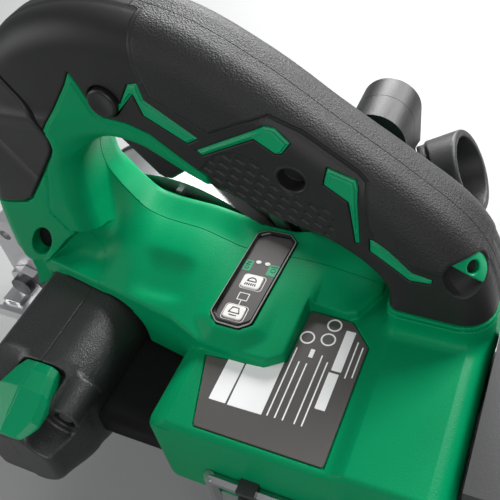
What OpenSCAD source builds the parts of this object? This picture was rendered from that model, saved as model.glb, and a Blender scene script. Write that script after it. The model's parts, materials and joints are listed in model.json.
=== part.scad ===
// Cordless metal-cutting circular saw with a dust case, a top handle and a sidewinder motor.
// X runs to the rear, Y from the motor side to the blade side, Z up.
// The origin is on the underside of the sole, below the blade spindle, in the housing's split plane.

/* [Blade] */
// Outer diameter of the blade
blade_diameter = 125; // [110:1:130]
// Thickness of the blade plate
blade_thickness = 1.3; // [0.8:0.1:2]
// Hole in the blade
blade_bore = 20; // [16:1:25.4]
// Number of teeth
blade_teeth = 38; // [20:1:60]
// Height of the spindle above the underside of the sole, with the sole fully up
spindle_height = 22.5; // [22:0.5:26]
// Distance of the blade from the housing's split plane
blade_offset = 29; // [28:0.5:32]

/* [Gears and spindle] */
// Tooth module
gear_module = 1; // [0.8:0.1:1]
// Teeth on the motor pinion
pinion_teeth = 9; // [9:1:12]
// Teeth on the spindle gear
gear_teeth = 32; // [26:1:32]
// Width of both gears
gear_width = 8; // [6:0.5:9]
// Lean of the motor axis in front of the spindle, in degrees
motor_lean = 37.5; // [32:0.5:42]
// Diameter of the spindle
spindle_diameter = 12; // [10:1:12]
// Outer diameter of the spindle's ball bearing
spindle_bearing_diameter = 28; // [26:1:30]
// Diameter of the blade flanges
flange_diameter = 32; // [28:1:32]

/* [Motor] */
// Width of the motor housing
motor_width = 55; // [50:1:56]
// Rounding of the motor housing's edges
motor_corner = 16; // [10:1:20]
// Wall of the motor housing
motor_wall = 2.5; // [2:0.25:3.5]
// How far the motor reaches out to the side
motor_reach = 86; // [80:1:92]
// Depth of the tail cap
tail_depth = 25; // [20:1:28]
// Diameter of the motor shaft
shaft_diameter = 8; // [6:1:8]
// Diameter of the magnet drum
drum_diameter = 26; // [20:1:30]
// Length of the stator
stator_length = 40; // [30:1:46]

/* [Blade case and guard] */
// Gap from the blade to the lower guard
guard_gap = 1.2; // [1:0.1:2]
// Wall of the lower guard
guard_wall = 1.5; // [1:0.1:2]
// Gap from the lower guard to the blade case
case_gap = 1.3; // [1:0.1:2]
// Wall of the blade case
case_wall = 2.5; // [2:0.25:3]
// Width of the blade case
case_width = 24; // [22:1:28]
// Travel of the lower guard, in degrees
guard_travel = 165; // [150:1:168]

/* [Dust case] */
// Wall of the dust case
dust_wall = 2.2; // [1.8:0.1:3]
// Width of the dust tower
tower_width = 25; // [22:1:28]
// Turn of the hose nozzle away from straight back, in degrees
nozzle_yaw = 22.7; // [0:0.1:30]
// Rise of the hose nozzle, in degrees
nozzle_rise = 12.6; // [0:0.1:20]
// Diameter of the socket for a hose cuff
socket_diameter = 31; // [28:0.5:32]
// Depth of the socket for a hose cuff
socket_depth = 12; // [10:1:16]
// Diameter of the spigot that the nozzle turns on
spigot_diameter = 24; // [20:0.5:25]

/* [Housing] */
// Height of the shells above their lowest setting
shell_lift = 3; // [3:0.5:6]
// Diameter of the shell screws' heads
screw_head = 6.4; // [5:0.2:7]
// Diameter of the shell screws' shanks
screw_shank = 3.8; // [3:0.1:4]
// Thickness of the nameplate
plate_thickness = 1; // [0.6:0.1:1.5]
// Thickness of the soft overmould
overmould = 2.5; // [2:0.25:3]
// Half width of the grip
grip_half_width = 18.5; // [16:0.5:20]

/* [Controls] */
// Width of the trigger
trigger_width = 18; // [14:1:20]
// Trigger travel, in degrees
trigger_travel = 8; // [5:1:9]
// Diameter of the lock-off bar
lock_diameter = 13; // [11:0.5:14]
// Width of the control panel
panel_width = 21; // [18:0.5:24]
// Length of the control panel
panel_length = 56; // [52:1:58]
// Travel of the panel buttons
button_travel = 0.8; // [0.5:0.1:1]

/* [Sole] */
// Thickness of the sole plate
sole_thickness = 2.5; // [2:0.25:3]
// Length of the sole in front of the spindle
sole_front = 110; // [104:1:120]
// Length of the sole behind the spindle
sole_rear = 118; // [100:1:124]
// Width of the sole on the motor side
sole_inner = 28; // [24:1:34]
// Width of the sole on the blade side
sole_outer = 62; // [58:1:80]
// Diameter of the depth pivot pin
pivot_diameter = 8; // [6:0.5:9]
// Distance of the depth pivot in front of the spindle
pivot_distance = 94; // [90:1:98]
// Height of the depth pivot
pivot_height = 16; // [14:0.5:18]
// Swing of the sole for shallower cuts, in degrees
depth_swing = 16; // [8:1:18]
// Diameter of the depth clamp bolt
clamp_diameter = 6; // [5:0.5:8]

/* [Battery] */
// Width of the battery
battery_width = 75; // [70:1:78]
// Height of the battery
battery_height = 61; // [54:1:64]
// Length of the battery
battery_length = 112; // [100:1:118]
// Reach of the battery behind the housing
battery_reach = 60; // [50:1:64]

/* [Fits] */
// Radial clearance of turning fits
running_clearance = 0.05; // [0.01:0.01:0.1]
// Gap beside the battery
slide_gap = 0.3; // [0.2:0.05:0.5]
// Gap between pieces that pass each other
part_gap = 0.4; // [0.3:0.05:0.6]

/* [Hidden] */
$fn = 48;

// blade, spindle and motor
blade_radius = blade_diameter / 2;
spindle_z = spindle_height;
spindle_radius = spindle_diameter / 2;
gear_distance = gear_module * (pinion_teeth + gear_teeth) / 2;
motor_x = -gear_distance * sin(motor_lean);
motor_z = spindle_z + gear_distance * cos(motor_lean);
gear_start = 4;
gear_end = gear_start + gear_width;
gear_tip = gear_module * (gear_teeth + 2) / 2;
pinion_tip = gear_module * (pinion_teeth + 2) / 2;
blade_back = blade_offset - blade_thickness / 2;
blade_front = blade_offset + blade_thickness / 2;
shaft_radius = shaft_diameter / 2;
nose_radius = 2.5;
end_radius = 3;
needle_shaft = 5;
needle_radius = 7;
front_bearing_radius = 11;
rear_bearing_radius = 9.5;
bracket_back = -8;
bracket_front = 3;

// blade case and lower guard
case_back = 20;
case_floor = case_back + case_wall;
guard_radius = blade_radius + guard_gap + guard_wall;
case_inner = guard_radius + case_gap;
case_outer = case_inner + case_wall;
case_front = case_back + case_width;
case_sill = sole_thickness + 1.5;
boss_radius = 17.5;
boss_front = 24.6;
guard_back = 22.9;
guard_front = guard_back + 14.6;
lever_radius = 52;
lever_pin = 3;
lever_angle = 8;
pot_wall = 2;
pot_radius = gear_tip + 0.5 + pot_wall;
lock_pin_x = 13.2;
lock_pin_z = spindle_z - 10;

// dust case
tower_back = 27;
tower_front = tower_back + tower_width;
tower_split = 40;
nozzle_root = [110, 37, 88];
nozzle_collar = 15;

// motor
motor_half = motor_width / 2;
tail_start = -motor_reach;
tail_end = -motor_reach - tail_depth;
bumper_half = 12;
tail_screw_x = motor_half - 7.5;
tail_screw_z = motor_half - 10;
stator_radius = motor_half - motor_wall - 0.2;
stator_front = -28;
stator_back = stator_front - stator_length;
drum_gap = 0.8;

// sole
pivot_x = -pivot_distance;
clamp_x = case_outer + 11;
clamp_z = 30;
link_back = 17.6;
link_front = 19.4;
link_radius = sqrt(pow(clamp_x - pivot_x, 2) + pow(clamp_z - pivot_height, 2));
link_start = atan2(clamp_z - pivot_height, clamp_x - pivot_x);
arm_back = -6;
arm_front = 10;

// battery
battery_rear = 165 + battery_reach;
battery_nose = battery_rear - battery_length;
battery_y1 = -5;
battery_y0 = battery_y1 - battery_width;
battery_top = 70;
battery_z0 = battery_top - battery_height;
battery_shelf = 48;
board_end = battery_nose - 6;

// control panel
panel_x = 64.5;
panel_y = -15;
panel_z = 72.5;
key_spots = [-3, -20.8];
lamp_spot = -12.1;

// height of the deck that carries the nameplate
rear_deck = 65;

// ---------- small helpers ----------

// children drawn in X and Z, then extruded along Y
module side(y0, y1) {
    translate([0, y1, 0]) rotate([90, 0, 0]) linear_extrude(y1 - y0) children();
}

module rod(x, z, y0, y1, r) {
    translate([x, y0, z]) rotate([-90, 0, 0]) cylinder(h = y1 - y0, r = r);
}

module ring(x, z, y0, y1, outer, inner) {
    difference() {
        rod(x, z, y0, y1, outer);
        rod(x, z, y0 - 1, y1 + 1, inner);
    }
}

module lifted() {
    translate([0, 0, shell_lift]) children();
}

module block(x0, x1, y0, y1, z0, z1) {
    translate([x0, y0, z0]) cube([x1 - x0, y1 - y0, z1 - z0]);
}

module soft_square(w, r) {
    square([w, w - 2 * r], center = true);
    square([w - 2 * r, w], center = true);
    for (sx = [-1, 1]) for (sy = [-1, 1]) translate([sx * (w / 2 - r), sy * (w / 2 - r)]) circle(r);
}

// ring of a section: a rounded rectangle with five points on each corner
function corner(cx, cy, r, start) = [for (k = [0:4]) [cx + r * cos(start + 22.5 * k), cy + r * sin(start + 22.5 * k)]];
function soft_ring(a1, a2, b1, b2, r) = concat(
    corner(a2 - r, b2 - r, r, 0), corner(a1 + r, b2 - r, r, 90),
    corner(a1 + r, b1 + r, r, 180), corner(a2 - r, b1 + r, r, 270));

// solid through a list of rings with the same number of points
module loft(rings) {
    n = len(rings[0]);
    m = len(rings);
    polyhedron(
        points = [for (g = rings) for (p = g) p],
        faces = concat(
            [[for (j = [0:n - 1]) j]],
            [[for (j = [n - 1:-1:0]) (m - 1) * n + j]],
            [for (i = [0:m - 2]) for (j = [0:n - 1]) [i * n + j, (i + 1) * n + j, (i + 1) * n + (j + 1) % n]],
            [for (i = [0:m - 2]) for (j = [0:n - 1]) [i * n + j, (i + 1) * n + (j + 1) % n, i * n + (j + 1) % n]]));
}

// sections across X: [x, y0, y1, z0, z1, rounding]
function across_x(s, g) = [for (q = s) [for (p = soft_ring(q[1] - g, q[2] + g, q[3] - g, q[4] + g, q[5])) [q[0], p[0], p[1]]]];
// level sections: [z, x0, x1, y0, y1, rounding]
function level(s, g) = [for (q = s) [for (p = soft_ring(q[1] - g, q[2] + g, q[3] - g, q[4] + g, q[5])) [p[0], p[1], q[0]]]];
// sections along the handle: [x, z, direction, below, above, half width, rounding]
function on_path(s, g) = [for (q = s) [for (p = soft_ring(-q[5] - g, q[5] + g, -q[3] - g, q[4] + g, q[6]))
    [q[0] - p[1] * sin(q[2]), p[0], q[1] + p[1] * cos(q[2])]]];

// outline of one gear, with straight-flanked teeth
module gear_outline(teeth, turn) {
    pitch = gear_module * teeth / 2;
    root = pitch - 1.25 * gear_module;
    tip = pitch + gear_module;
    circle(root);
    for (k = [0:teeth - 1]) rotate(turn + k * 360 / teeth) polygon([[root - 0.4, -0.9 * gear_module],
        [pitch, -0.55 * gear_module], [tip, -0.22 * gear_module], [tip, 0.22 * gear_module],
        [pitch, 0.55 * gear_module], [root - 0.4, 0.9 * gear_module]]);
}

// ---------- spindle, blade and guard ----------

module spindle() color("silver") difference() {
    union() {
        rod(0, spindle_z, bracket_front - 7.5, bracket_front, needle_shaft);
        rod(0, spindle_z, bracket_front, blade_back - 2.35, spindle_radius);
    }
    rod(0, spindle_z, 16, blade_back, 4);
}

module spur_gear() color("darkgray") difference() {
    side(gear_start, gear_end) translate([0, spindle_z]) gear_outline(gear_teeth, 90 + motor_lean + 180 / gear_teeth);
    rod(0, spindle_z, gear_start - 1, gear_end + 1, spindle_radius);
    for (k = [0:5]) rotate([0, 0, 0]) translate([11 * cos(60 * k), gear_start - 1, spindle_z + 11 * sin(60 * k)])
        rotate([-90, 0, 0]) cylinder(h = gear_width + 2, r = 2.2);
}

module spindle_bearing() color("lightgray")
    ring(0, spindle_z, 14, case_floor, spindle_bearing_diameter / 2, spindle_radius + running_clearance);

module needle_bearing() color("lightgray")
    ring(0, spindle_z, bracket_front - 8, bracket_front, needle_radius, needle_shaft + running_clearance);

module inner_flange() color("dimgray") difference() {
    union() {
        rod(0, spindle_z, boss_front + 0.3, blade_back, flange_diameter / 2);
        rod(0, spindle_z, blade_back, blade_front - 0.2, blade_bore / 2 - running_clearance);
    }
    rod(0, spindle_z, boss_front, blade_back - 2.35, spindle_radius);
    rod(0, spindle_z, boss_front, blade_front, 4.2);
}

module outer_flange() color("dimgray")
    ring(0, spindle_z, blade_front, blade_front + 3.4, flange_diameter / 2, 4.2);

module blade_bolt() color("gray") {
    rod(0, spindle_z, 17, blade_front + 3.4, 3.95);
    difference() {
        translate([0, blade_front + 3.4, spindle_z]) rotate([-90, 0, 0]) cylinder(h = 5.5, r = 7.5);
        translate([0, blade_front + 5.4, spindle_z]) rotate([-90, 0, 0]) cylinder(h = 5.5, r = 3.5, $fn = 6);
    }
}

module blade() color("lightslategray") side(blade_back, blade_front) translate([0, spindle_z]) difference() {
    polygon([for (k = [0:blade_teeth - 1]) for (s = [[0, 1], [0.12, 0.998], [0.3, 0.945], [0.85, 0.952]])
        blade_radius * s[1] * [cos((k + s[0]) * 360 / blade_teeth), sin((k + s[0]) * 360 / blade_teeth)]]);
    circle(blade_bore / 2);
    for (k = [0:3]) rotate(45 + 90 * k) translate([blade_radius - 7, 0]) square([6.4, 1.2], center = true);
    for (k = [0:3]) rotate(45 + 90 * k) translate([blade_radius - 10.6, 0]) circle(2);
}

module guard_half() intersection() {
    children();
    translate([-blade_diameter, -blade_diameter]) square([2 * blade_diameter, blade_diameter + 3]);
}

module lower_guard() color("gray") translate([0, 0, spindle_z]) {
    side(guard_back, guard_back + guard_wall) difference() {
        union() {
            circle(boss_radius + 6);
            guard_half() circle(guard_radius);
        }
        circle(boss_radius + part_gap);
        for (k = [0:2]) rotate(-135 + 45 * k) translate([44, 0]) circle(7);
    }
    side(guard_back + guard_wall, guard_front - guard_wall) guard_half() difference() {
        circle(guard_radius);
        circle(guard_radius - guard_wall);
    }
    side(guard_front - guard_wall, guard_front) guard_half() difference() {
        circle(guard_radius);
        circle(blade_radius - 18);
    }
}

module guard_lever() color("black") translate([lever_radius * cos(lever_angle), 0, spindle_z + lever_radius * sin(lever_angle)]) {
    rod(0, 0, guard_front, case_front + 4, lever_pin);
    difference() {
        rod(0, 0, case_front + 4, case_front + 14, 7);
        for (k = [0:7]) rod(8.2 * cos(45 * k), 8.2 * sin(45 * k), case_front + 3, case_front + 15, 2);
    }
}

// ---------- gear case with the blade case ----------

module case_half(r) intersection() {
    circle(r);
    translate([-blade_diameter, case_sill - spindle_z]) square([2 * blade_diameter, 2 * blade_diameter]);
}

module gear_case() color("silver") difference() {
    union() {
        side(case_back, case_floor) translate([0, spindle_z]) case_half(case_outer);
        side(case_floor, case_front) translate([0, spindle_z]) difference() {
            case_half(case_outer);
            circle(case_inner);
        }
        rod(0, spindle_z, bracket_front, boss_front, boss_radius);
        rod(0, spindle_z, bracket_front, case_back + 0.5, pot_radius);
        rod(motor_x, motor_z, bracket_front, case_back + 0.5, pinion_tip + 6);
        // stiffening ribs on the back of the blade case
        for (a = [40, 80, 150]) translate([0, 0, spindle_z]) rotate([0, -a, 0]) block(boss_radius, case_outer - 4, 17.5, case_back + 0.5, -1.5, 1.5);
        // front arm to the depth pivot
        side(arm_back, arm_front) polygon([[-20, 62], [-62, 62], [-100, 60], [-106, 48], [-106, pivot_height - 4],
            [-99, pivot_height - 9], [pivot_x + 8, pivot_height - 9], [-80, 32], [-44, 42], [-20, 46]]);
        side(arm_front - 1, case_back + 0.5) polygon([[-20, 50], [-44, 52], [-44, 40], [-20, 40]]);
    }
    // gear chamber
    rod(0, spindle_z, bracket_front - 1, 14, gear_tip + 0.5);
    rod(motor_x, motor_z, bracket_front - 1, 14, pinion_tip + 0.6);
    // spindle bearing
    rod(0, spindle_z, 13, boss_front + 1, spindle_bearing_diameter / 2);
    // depth pivot
    rod(pivot_x, pivot_height, arm_back - 1, arm_front + 1, pivot_diameter / 2 + running_clearance);
    // the motor housing passes below the arm
    rod(motor_x, motor_z, arm_back - 1, bracket_front, pot_radius);
    side(bracket_back - 1, bracket_back + 3.3) motor_outline(-0.3);
    // screws of the arm
    rod(-97, 49, arm_back - 1, arm_back + 4, 3.6);
    rod(-60, 52, arm_back - 1, arm_back + 4, 2.6);
    // outlet to the dust chamber
    block(46, 66, 27, 39, spindle_z + 6, spindle_z + 34);
}

module motor_bracket() color("silver") difference() {
    union() {
        side(bracket_back, bracket_front) translate([0, spindle_z]) circle(pot_radius);
        side(bracket_back, bracket_front) translate([motor_x, motor_z]) circle(front_bearing_radius + 4);
        side(bracket_back, bracket_back + 3) translate([motor_x, motor_z]) soft_square(motor_width, motor_corner);
    }
    rod(motor_x, motor_z, bracket_back - 1, -0.5, front_bearing_radius);
    rod(motor_x, motor_z, -1, bracket_front + 1, pinion_tip + 0.6);
    rod(0, spindle_z, bracket_front - 8, bracket_front + 1, needle_radius);
    rod(lock_pin_x, lock_pin_z, bracket_back - 1, bracket_front + 1, 2 + running_clearance);
    for (sx = [-1, 1]) for (sz = [-1, 1])
        rod(motor_x + sx * (motor_half - 6), motor_z + sz * (motor_half - 6), bracket_back - 1, bracket_back + 4, 1.6);
}

module spindle_lock() color("black") {
    rod(lock_pin_x, lock_pin_z, -13, bracket_front - 3, 2);
    rod(lock_pin_x, lock_pin_z, -18, -13, 3.2);
}

// ---------- motor ----------

module motor_outline(inset) translate([motor_x, motor_z]) soft_square(motor_width - 2 * inset, motor_corner - inset);

module motor_housing() color("#202022") difference() {
    union() {
        side(tail_start, bracket_back) motor_outline(0);
    }
    side(stator_back - 11, bracket_back + 1) motor_outline(motor_wall);
    rod(motor_x, motor_z, tail_start - 1, stator_back, rear_bearing_radius);
    bumper_room(0.2);
    // air slots by the fan
    for (k = [0:4]) block(motor_x - motor_half - 1, motor_x - motor_half + 5, -34 + 4 * k, -32 + 4 * k, motor_z - 9, motor_z + 9);
    for (k = [0:4]) block(motor_x - 9, motor_x + 9, -34 + 4 * k, -32 + 4 * k, motor_z - motor_half - 1, motor_z - motor_half + 5);
}

// the tail is narrower at its shoulders, beside the bumper
module tail_outline(inset) translate([motor_x, motor_z]) intersection() {
    soft_square(motor_width - 2 * inset, motor_corner - inset);
    polygon([[-motor_half, -motor_half], [motor_half, -motor_half], [motor_half, motor_half - 14 - inset],
        [bumper_half + 1, motor_half - 2 - inset], [bumper_half + 1, motor_half], [-bumper_half - 1, motor_half],
        [-bumper_half - 1, motor_half - 2 - inset], [-motor_half, motor_half - 14 - inset]]);
}

module bumper_room(gap) side(tail_end - 3, tail_start + 7 + gap) translate([motor_x, motor_z + motor_half])
    polygon([[-bumper_half - gap, -7 - gap], [bumper_half + gap, -7 - gap], [bumper_half + gap, 5], [-bumper_half - gap, 5]]);

module motor_tail() color("#262628") difference() {
    union() {
        side(tail_end + 5, tail_start) tail_outline(0);
        side(tail_end + 2, tail_end + 5) tail_outline(1.5);
        side(tail_end, tail_end + 2) tail_outline(4);
    }
    difference() {
        side(tail_end + 4, tail_start + 1) tail_outline(5);
        block(motor_x - 20, motor_x + 20, tail_end, tail_start, motor_z + 14, motor_z + 30);
    }
    // air slots
    for (k = [-2:2]) block(motor_x + 6 * k - 1.5, motor_x + 6 * k + 1.5, tail_end - 1, tail_end + 5, motor_z - 16, motor_z + 6);
    bumper_room(0.2);
    for (sx = [-1, 1]) rod(motor_x + sx * tail_screw_x, motor_z + tail_screw_z, tail_end - 1, tail_start - 6, 4.4);
}

module tail_bumper() color("#00784b") {
    side(tail_end + 4, tail_start + 7) translate([motor_x, motor_z + motor_half])
        polygon([[-bumper_half, -7], [bumper_half, -7], [bumper_half, -1], [9, 1.6], [0, 2.4], [-9, 1.6], [-bumper_half, -1]]);
    side(tail_end - 1.5, tail_end + 4) translate([motor_x, motor_z + motor_half])
        polygon([[-10, -7], [10, -7], [10, -3], [7, -0.8], [0, 0], [-7, -0.8], [-10, -3]]);
}

module tail_screws() color("gray") for (sx = [-1, 1]) difference() {
    rod(motor_x + sx * tail_screw_x, motor_z + tail_screw_z, tail_start - 9, tail_start - 6, 3.2);
    rod(motor_x + sx * tail_screw_x, motor_z + tail_screw_z, tail_start - 10, tail_start - 7.5, 1.5);
}

module stator() color("#b87333") difference() {
    rod(motor_x, motor_z, stator_back, stator_front, stator_radius);
    rod(motor_x, motor_z, stator_back - 1, stator_front + 1, drum_diameter / 2 + drum_gap);
    for (k = [0:5]) translate([motor_x, 0, motor_z]) rotate([0, 60 * k, 0])
        block(drum_diameter / 2, drum_diameter / 2 + 5, stator_back - 1, stator_front + 1, -1.5, 1.5);
}

module rotor() color("silver") {
    rod(motor_x, motor_z, stator_back - 16.5, stator_back - 11, end_radius);
    rod(motor_x, motor_z, stator_back - 11, 0, shaft_radius);
    rod(motor_x, motor_z, 0, gear_end + 1, nose_radius);
    ring(motor_x, motor_z, stator_back + 2, stator_front - 2, drum_diameter / 2, shaft_radius);
}

module fan() color("#303032") difference() {
    union() {
        rod(motor_x, motor_z, -24, -22.4, 21);
        rod(motor_x, motor_z, -24, -14, 7);
        for (k = [0:10]) translate([motor_x, 0, motor_z]) rotate([0, k * 360 / 11, 0]) block(8, 20.5, -22.6, -14.5, -0.6, 0.6);
    }
    rod(motor_x, motor_z, -25, -13, shaft_radius);
}

module pinion() color("dimgray") difference() {
    side(gear_start, gear_end) translate([motor_x, motor_z]) gear_outline(pinion_teeth, motor_lean - 90);
    rod(motor_x, motor_z, gear_start - 1, gear_end + 1, nose_radius);
}

module front_bearing() color("lightgray")
    ring(motor_x, motor_z, bracket_back + 0.5, -0.5, front_bearing_radius, shaft_radius + running_clearance);

module rear_bearing() color("lightgray")
    ring(motor_x, motor_z, stator_back - 17.5, stator_back - 11.5, rear_bearing_radius, end_radius + running_clearance);

// ---------- dust case ----------

module tower_outline() difference() {
    union() {
        translate([106, 124]) circle(12.5);
        polygon([[93.5, 124], [118.5, 124], [118.5, 40], [104, 22], [60, 12], [20, 30], [16, 84], [38, 86], [72, 92], [88, 100]]);
    }
    translate([0, spindle_z - shell_lift]) circle(case_outer + part_gap);
}

module nozzle_place() {
    translate(nozzle_root) rotate([0, 0, nozzle_yaw]) rotate([0, 90 - nozzle_rise, 0]) children();
}

module dust_chamber() color("#101012") lifted() difference() {
    union() {
        side(tower_back, tower_split) tower_outline();
        nozzle_place() cylinder(h = nozzle_collar + 8, r = spigot_diameter / 2);
    }
    side(tower_back + dust_wall, tower_split + 1) polygon([[96, 124], [116, 124], [116, 42], [103, 25], [72, 18], [72, 88], [90, 98]]);
    side(tower_back + dust_wall, tower_split + 1) translate([106, 124]) circle(10);
    translate([0, 0, -shell_lift]) block(60, 74, 30, tower_split + 1, spindle_z + 6, spindle_z + 34);
    nozzle_place() translate([0, 0, -4]) cylinder(h = 40, r = spigot_diameter / 2 - 2);
}

module dust_cover() color("#0c0c0e") difference() {
    union() {
        lifted() difference() {
            side(tower_split + 0.2, tower_front) tower_outline();
            side(tower_split - 1, tower_front - dust_wall) polygon([[96, 124], [116, 124], [116, 42], [103, 25], [72, 18], [72, 88], [90, 98]]);
            side(tower_split - 1, tower_front - dust_wall) translate([106, 124]) circle(10);
        }
        side(case_front + 0.2, case_front + 2.6) translate([0, spindle_z]) case_half(case_outer + part_gap + 0.5);
    }
    // slot of the guard lever
    side(case_front - 1, case_front + 4) translate([0, spindle_z]) intersection() {
        difference() {
            circle(lever_radius + lever_pin + 0.8);
            circle(lever_radius - lever_pin - 0.8);
        }
        translate([-blade_diameter, 3]) square([2 * blade_diameter, blade_diameter]);
    }
    lifted() nozzle_place() translate([0, 0, -4]) cylinder(h = 40, r = spigot_diameter / 2 + part_gap);
    lifted() nozzle_place() translate([0, 0, nozzle_collar - part_gap]) cylinder(h = 14, r = socket_diameter / 2 + 3);
    for (p = [[0, case_outer - 3.6], [-52, 42.6], [61, 24.4]]) rod(p[0], spindle_z + p[1], case_front - 1, tower_front + 1, 2.1);
}

module cover_screws() color("gray") for (p = [[0, case_outer - 3.6], [-52, 42.6]]) {
    rod(p[0], spindle_z + p[1], case_front + 0.2, case_front + 2.6, 1.9);
    rod(p[0], spindle_z + p[1], case_front + 2.6, case_front + 5, 3.4);
}

module dust_nozzle() color("#2c2c2e") lifted() nozzle_place() difference() {
    union() {
        translate([0, 0, nozzle_collar]) cylinder(h = 3, r = spigot_diameter / 2 + 2.4);
        translate([0, 0, nozzle_collar + 3]) cylinder(h = 8, r1 = spigot_diameter / 2 + 2.4, r2 = socket_diameter / 2 + 1.8);
        translate([0, 0, nozzle_collar + 11]) cylinder(h = socket_depth, r = socket_diameter / 2 + 1.8);
        translate([0, 0, nozzle_collar + 9 + socket_depth]) cylinder(h = 2, r = socket_diameter / 2 + 2.4);
    }
    translate([0, 0, nozzle_collar - 1]) cylinder(h = 9, r = spigot_diameter / 2 + running_clearance);
    translate([0, 0, nozzle_collar - 1]) cylinder(h = 40, r = spigot_diameter / 2 - 2);
    translate([0, 0, nozzle_collar + 8]) cylinder(h = 3, r1 = socket_diameter / 2 - 3, r2 = socket_diameter / 2);
    translate([0, 0, nozzle_collar + 11]) cylinder(h = 40, r = socket_diameter / 2);
}

// ---------- housing ----------

body_sections = [
    [-66, -24, 13, 34, 64, 6], [-60, -29, 15, 30, 70, 9], [-40, -34, 16, 30, 78, 11], [-20, -38, 17, 34, 82, 12],
    [0, -41, 17, 36, 86, 12], [20, -44, 17, 38, 83, 12], [36, -46, 17, 40, 80, 12], [50, -53, 17, 42, 74, 10],
    [84, -53, 17, 44, 71, 7], [92, -44, 17, 44, 71, 7], [94, -22, 17, 44, 70, 7],
    [110, -21, 17, 44, 68, 7], [113, -19, 15, 46, 62, 6]];
rear_sections = [
    [45, -80, 15, 18, 60, 6], [50, -88, 17, 12, rear_deck, 7], [121, -88, 17, 12, rear_deck, 7],
    [128, -88, 17, 12, rear_deck + 4, 7], [159, -88, 17, 12, rear_deck + 4, 7], [165, -84, 15, 16, rear_deck - 1, 6]];
post_sections = [
    [30, -62, -10, -18, 12, 6], [45, -66, 4, -26, 15, 9], [70, -67, 12, -30, 17, 10], [86, -66, 6, -29, 17, 10],
    [98, -65, -5, -27, 16, 10], [110, -63, -9, -24, 16, 10], [126, -60, -7, -21, 16, 10], [143, -54, 4, -18, 16, 10]];
handle_sections = [
    [-38, 140, 60, 24, 22, 17, 9], [-18, 160, 38, 25, 25, 18.5, 10], [8, 169, 12, 25, 25, 18.5, 10],
    [35, 166, -12, 25, 25, 18.5, 10], [60, 152, -30, 26, 26, 18.5, 10], [86, 134, -36, 25.5, 25.5, 18.5, 10],
    [112, 116, -40, 21, 25, 18.5, 9], [132, 99, -57, 21, 25, 20, 9], [141, 82, -80, 23, 23.5, 22, 10],
    [142, 62, -90, 23, 23, 22, 10]];
hub_trim = grip_half_width - 18.5;
foot_top = 81;

module body_solid() {
    loft(across_x(body_sections, 0));
    loft(across_x(rear_sections, 0));
    loft(level(post_sections, 0));
    // foot of the handle, below the soft grip
    intersection() {
        handle_solid(0);
        block(100, 180, -30, 30, 40, foot_top);
    }
}

module handle_solid(g) {
    loft(on_path(handle_sections, hub_trim + g));
}

// everything that the shells make room for, in the shells' own heights
module shell_rooms() {
    // motor bracket, gear case and arm
    translate([0, 0, -shell_lift]) {
        side(-100, bracket_front + 30) motor_outline(-part_gap);
        rod(0, spindle_z, -20, 30, pot_radius + part_gap);
        block(-110, -12, arm_back - part_gap, 20, 2, 62 + part_gap);
        rod(motor_x, motor_z, -9, 30, pinion_tip + 6 + part_gap);
        side(17.4, 30) translate([0, spindle_z]) circle(case_outer + 2);
    }
    // controller, wiring and front post
    block(22, board_end + 1, -40, 12, 50, 62);
    block(63, board_end + 1, -82, 12, 18, 58);
    difference() {
        block(-50, -22, -11, 11, 55, 130);
        rod(-40, 80, -20, 20, screw_head / 2 + 3);
    }
    // battery bay
    block(battery_nose - 0.5, 170, battery_y0 - slide_gap, battery_y1 + slide_gap, 5, battery_shelf + slide_gap);
    block(battery_nose - 1, 139, battery_y0 + 17, battery_y1 - 17, battery_shelf, battery_shelf + 10);
    // switch and trigger
    translate([34, 0, 157]) rotate([0, 14, 0]) block(-28, 30, -11, 11, -7, 12);
    side(-trigger_width / 2 - part_gap, trigger_width / 2 + part_gap)
        polygon([[-6, 128], [-3, 151], [12, 153], [56, 146], [54, 122], [30, 100], [4, 118]]);
    rod(17, 161, -30, 30, lock_diameter / 2 + part_gap);
    // hollow grip behind the switch
    difference() {
        translate([84, 0, 134]) rotate([0, 36, 0]) block(-24, 26, -12, 12, -16, 15);
        rod(89, 138, -20, 20, screw_head / 2 + 3);
    }
    block(128, 154, -13, 13, 70, 100);
    // control panel
    translate([panel_x, panel_y, panel_z]) block(-panel_width / 2, panel_width / 2, -panel_length / 2, panel_length / 2, -8, 20);
    // nameplate
    translate([0, 0, rear_deck - plate_thickness]) linear_extrude(10) plate_outline(0.2);
    // head lamp
    block(-70, -58, -9, 5, 68, 78);
    // strap eye
    translate([154, -20, 106]) sphere(11);
    side(-30, -14) eye_outline();
}

left_screws = [[-40, 80, -15], [89, 138, -6]];
right_screws = [[57, 24, 8], [152, 59, 8]];

module left_screw_room() {
    for (p = left_screws) {
        rod(p[0], p[1], -100, 12, screw_shank / 2 + 0.1);
        rod(p[0], p[1], -100, p[2], screw_head / 2 + 1.4);
    }
}

module right_screw_room() {
    for (p = right_screws) {
        rod(p[0], p[1], -12, 30, screw_shank / 2 + 0.1);
        rod(p[0], p[1], p[2], 30, screw_head / 2 + 1.4);
    }
}

module housing_left() color("#00784b") lifted() difference() {
    intersection() {
        union() {
            body_solid();
            handle_solid(-overmould);
        }
        block(-90, 190, -100, 0, 0, 220);
    }
    shell_rooms();
    left_screw_room();
    right_screw_room();
    grip_cover(0, 0);
    front_cover_zone(0);
}

module housing_right() color("#00784b") lifted() difference() {
    intersection() {
        union() {
            body_solid();
            handle_solid(-overmould);
        }
        block(-90, 190, 0, 60, 0, 220);
    }
    shell_rooms();
    left_screw_room();
    right_screw_room();
    translate([0, 0, -shell_lift]) rod(clamp_x, clamp_z, 6, 20, clamp_diameter / 2 + 0.1);
    grip_cover(0, 0);
    front_cover_zone(0);
}

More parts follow.
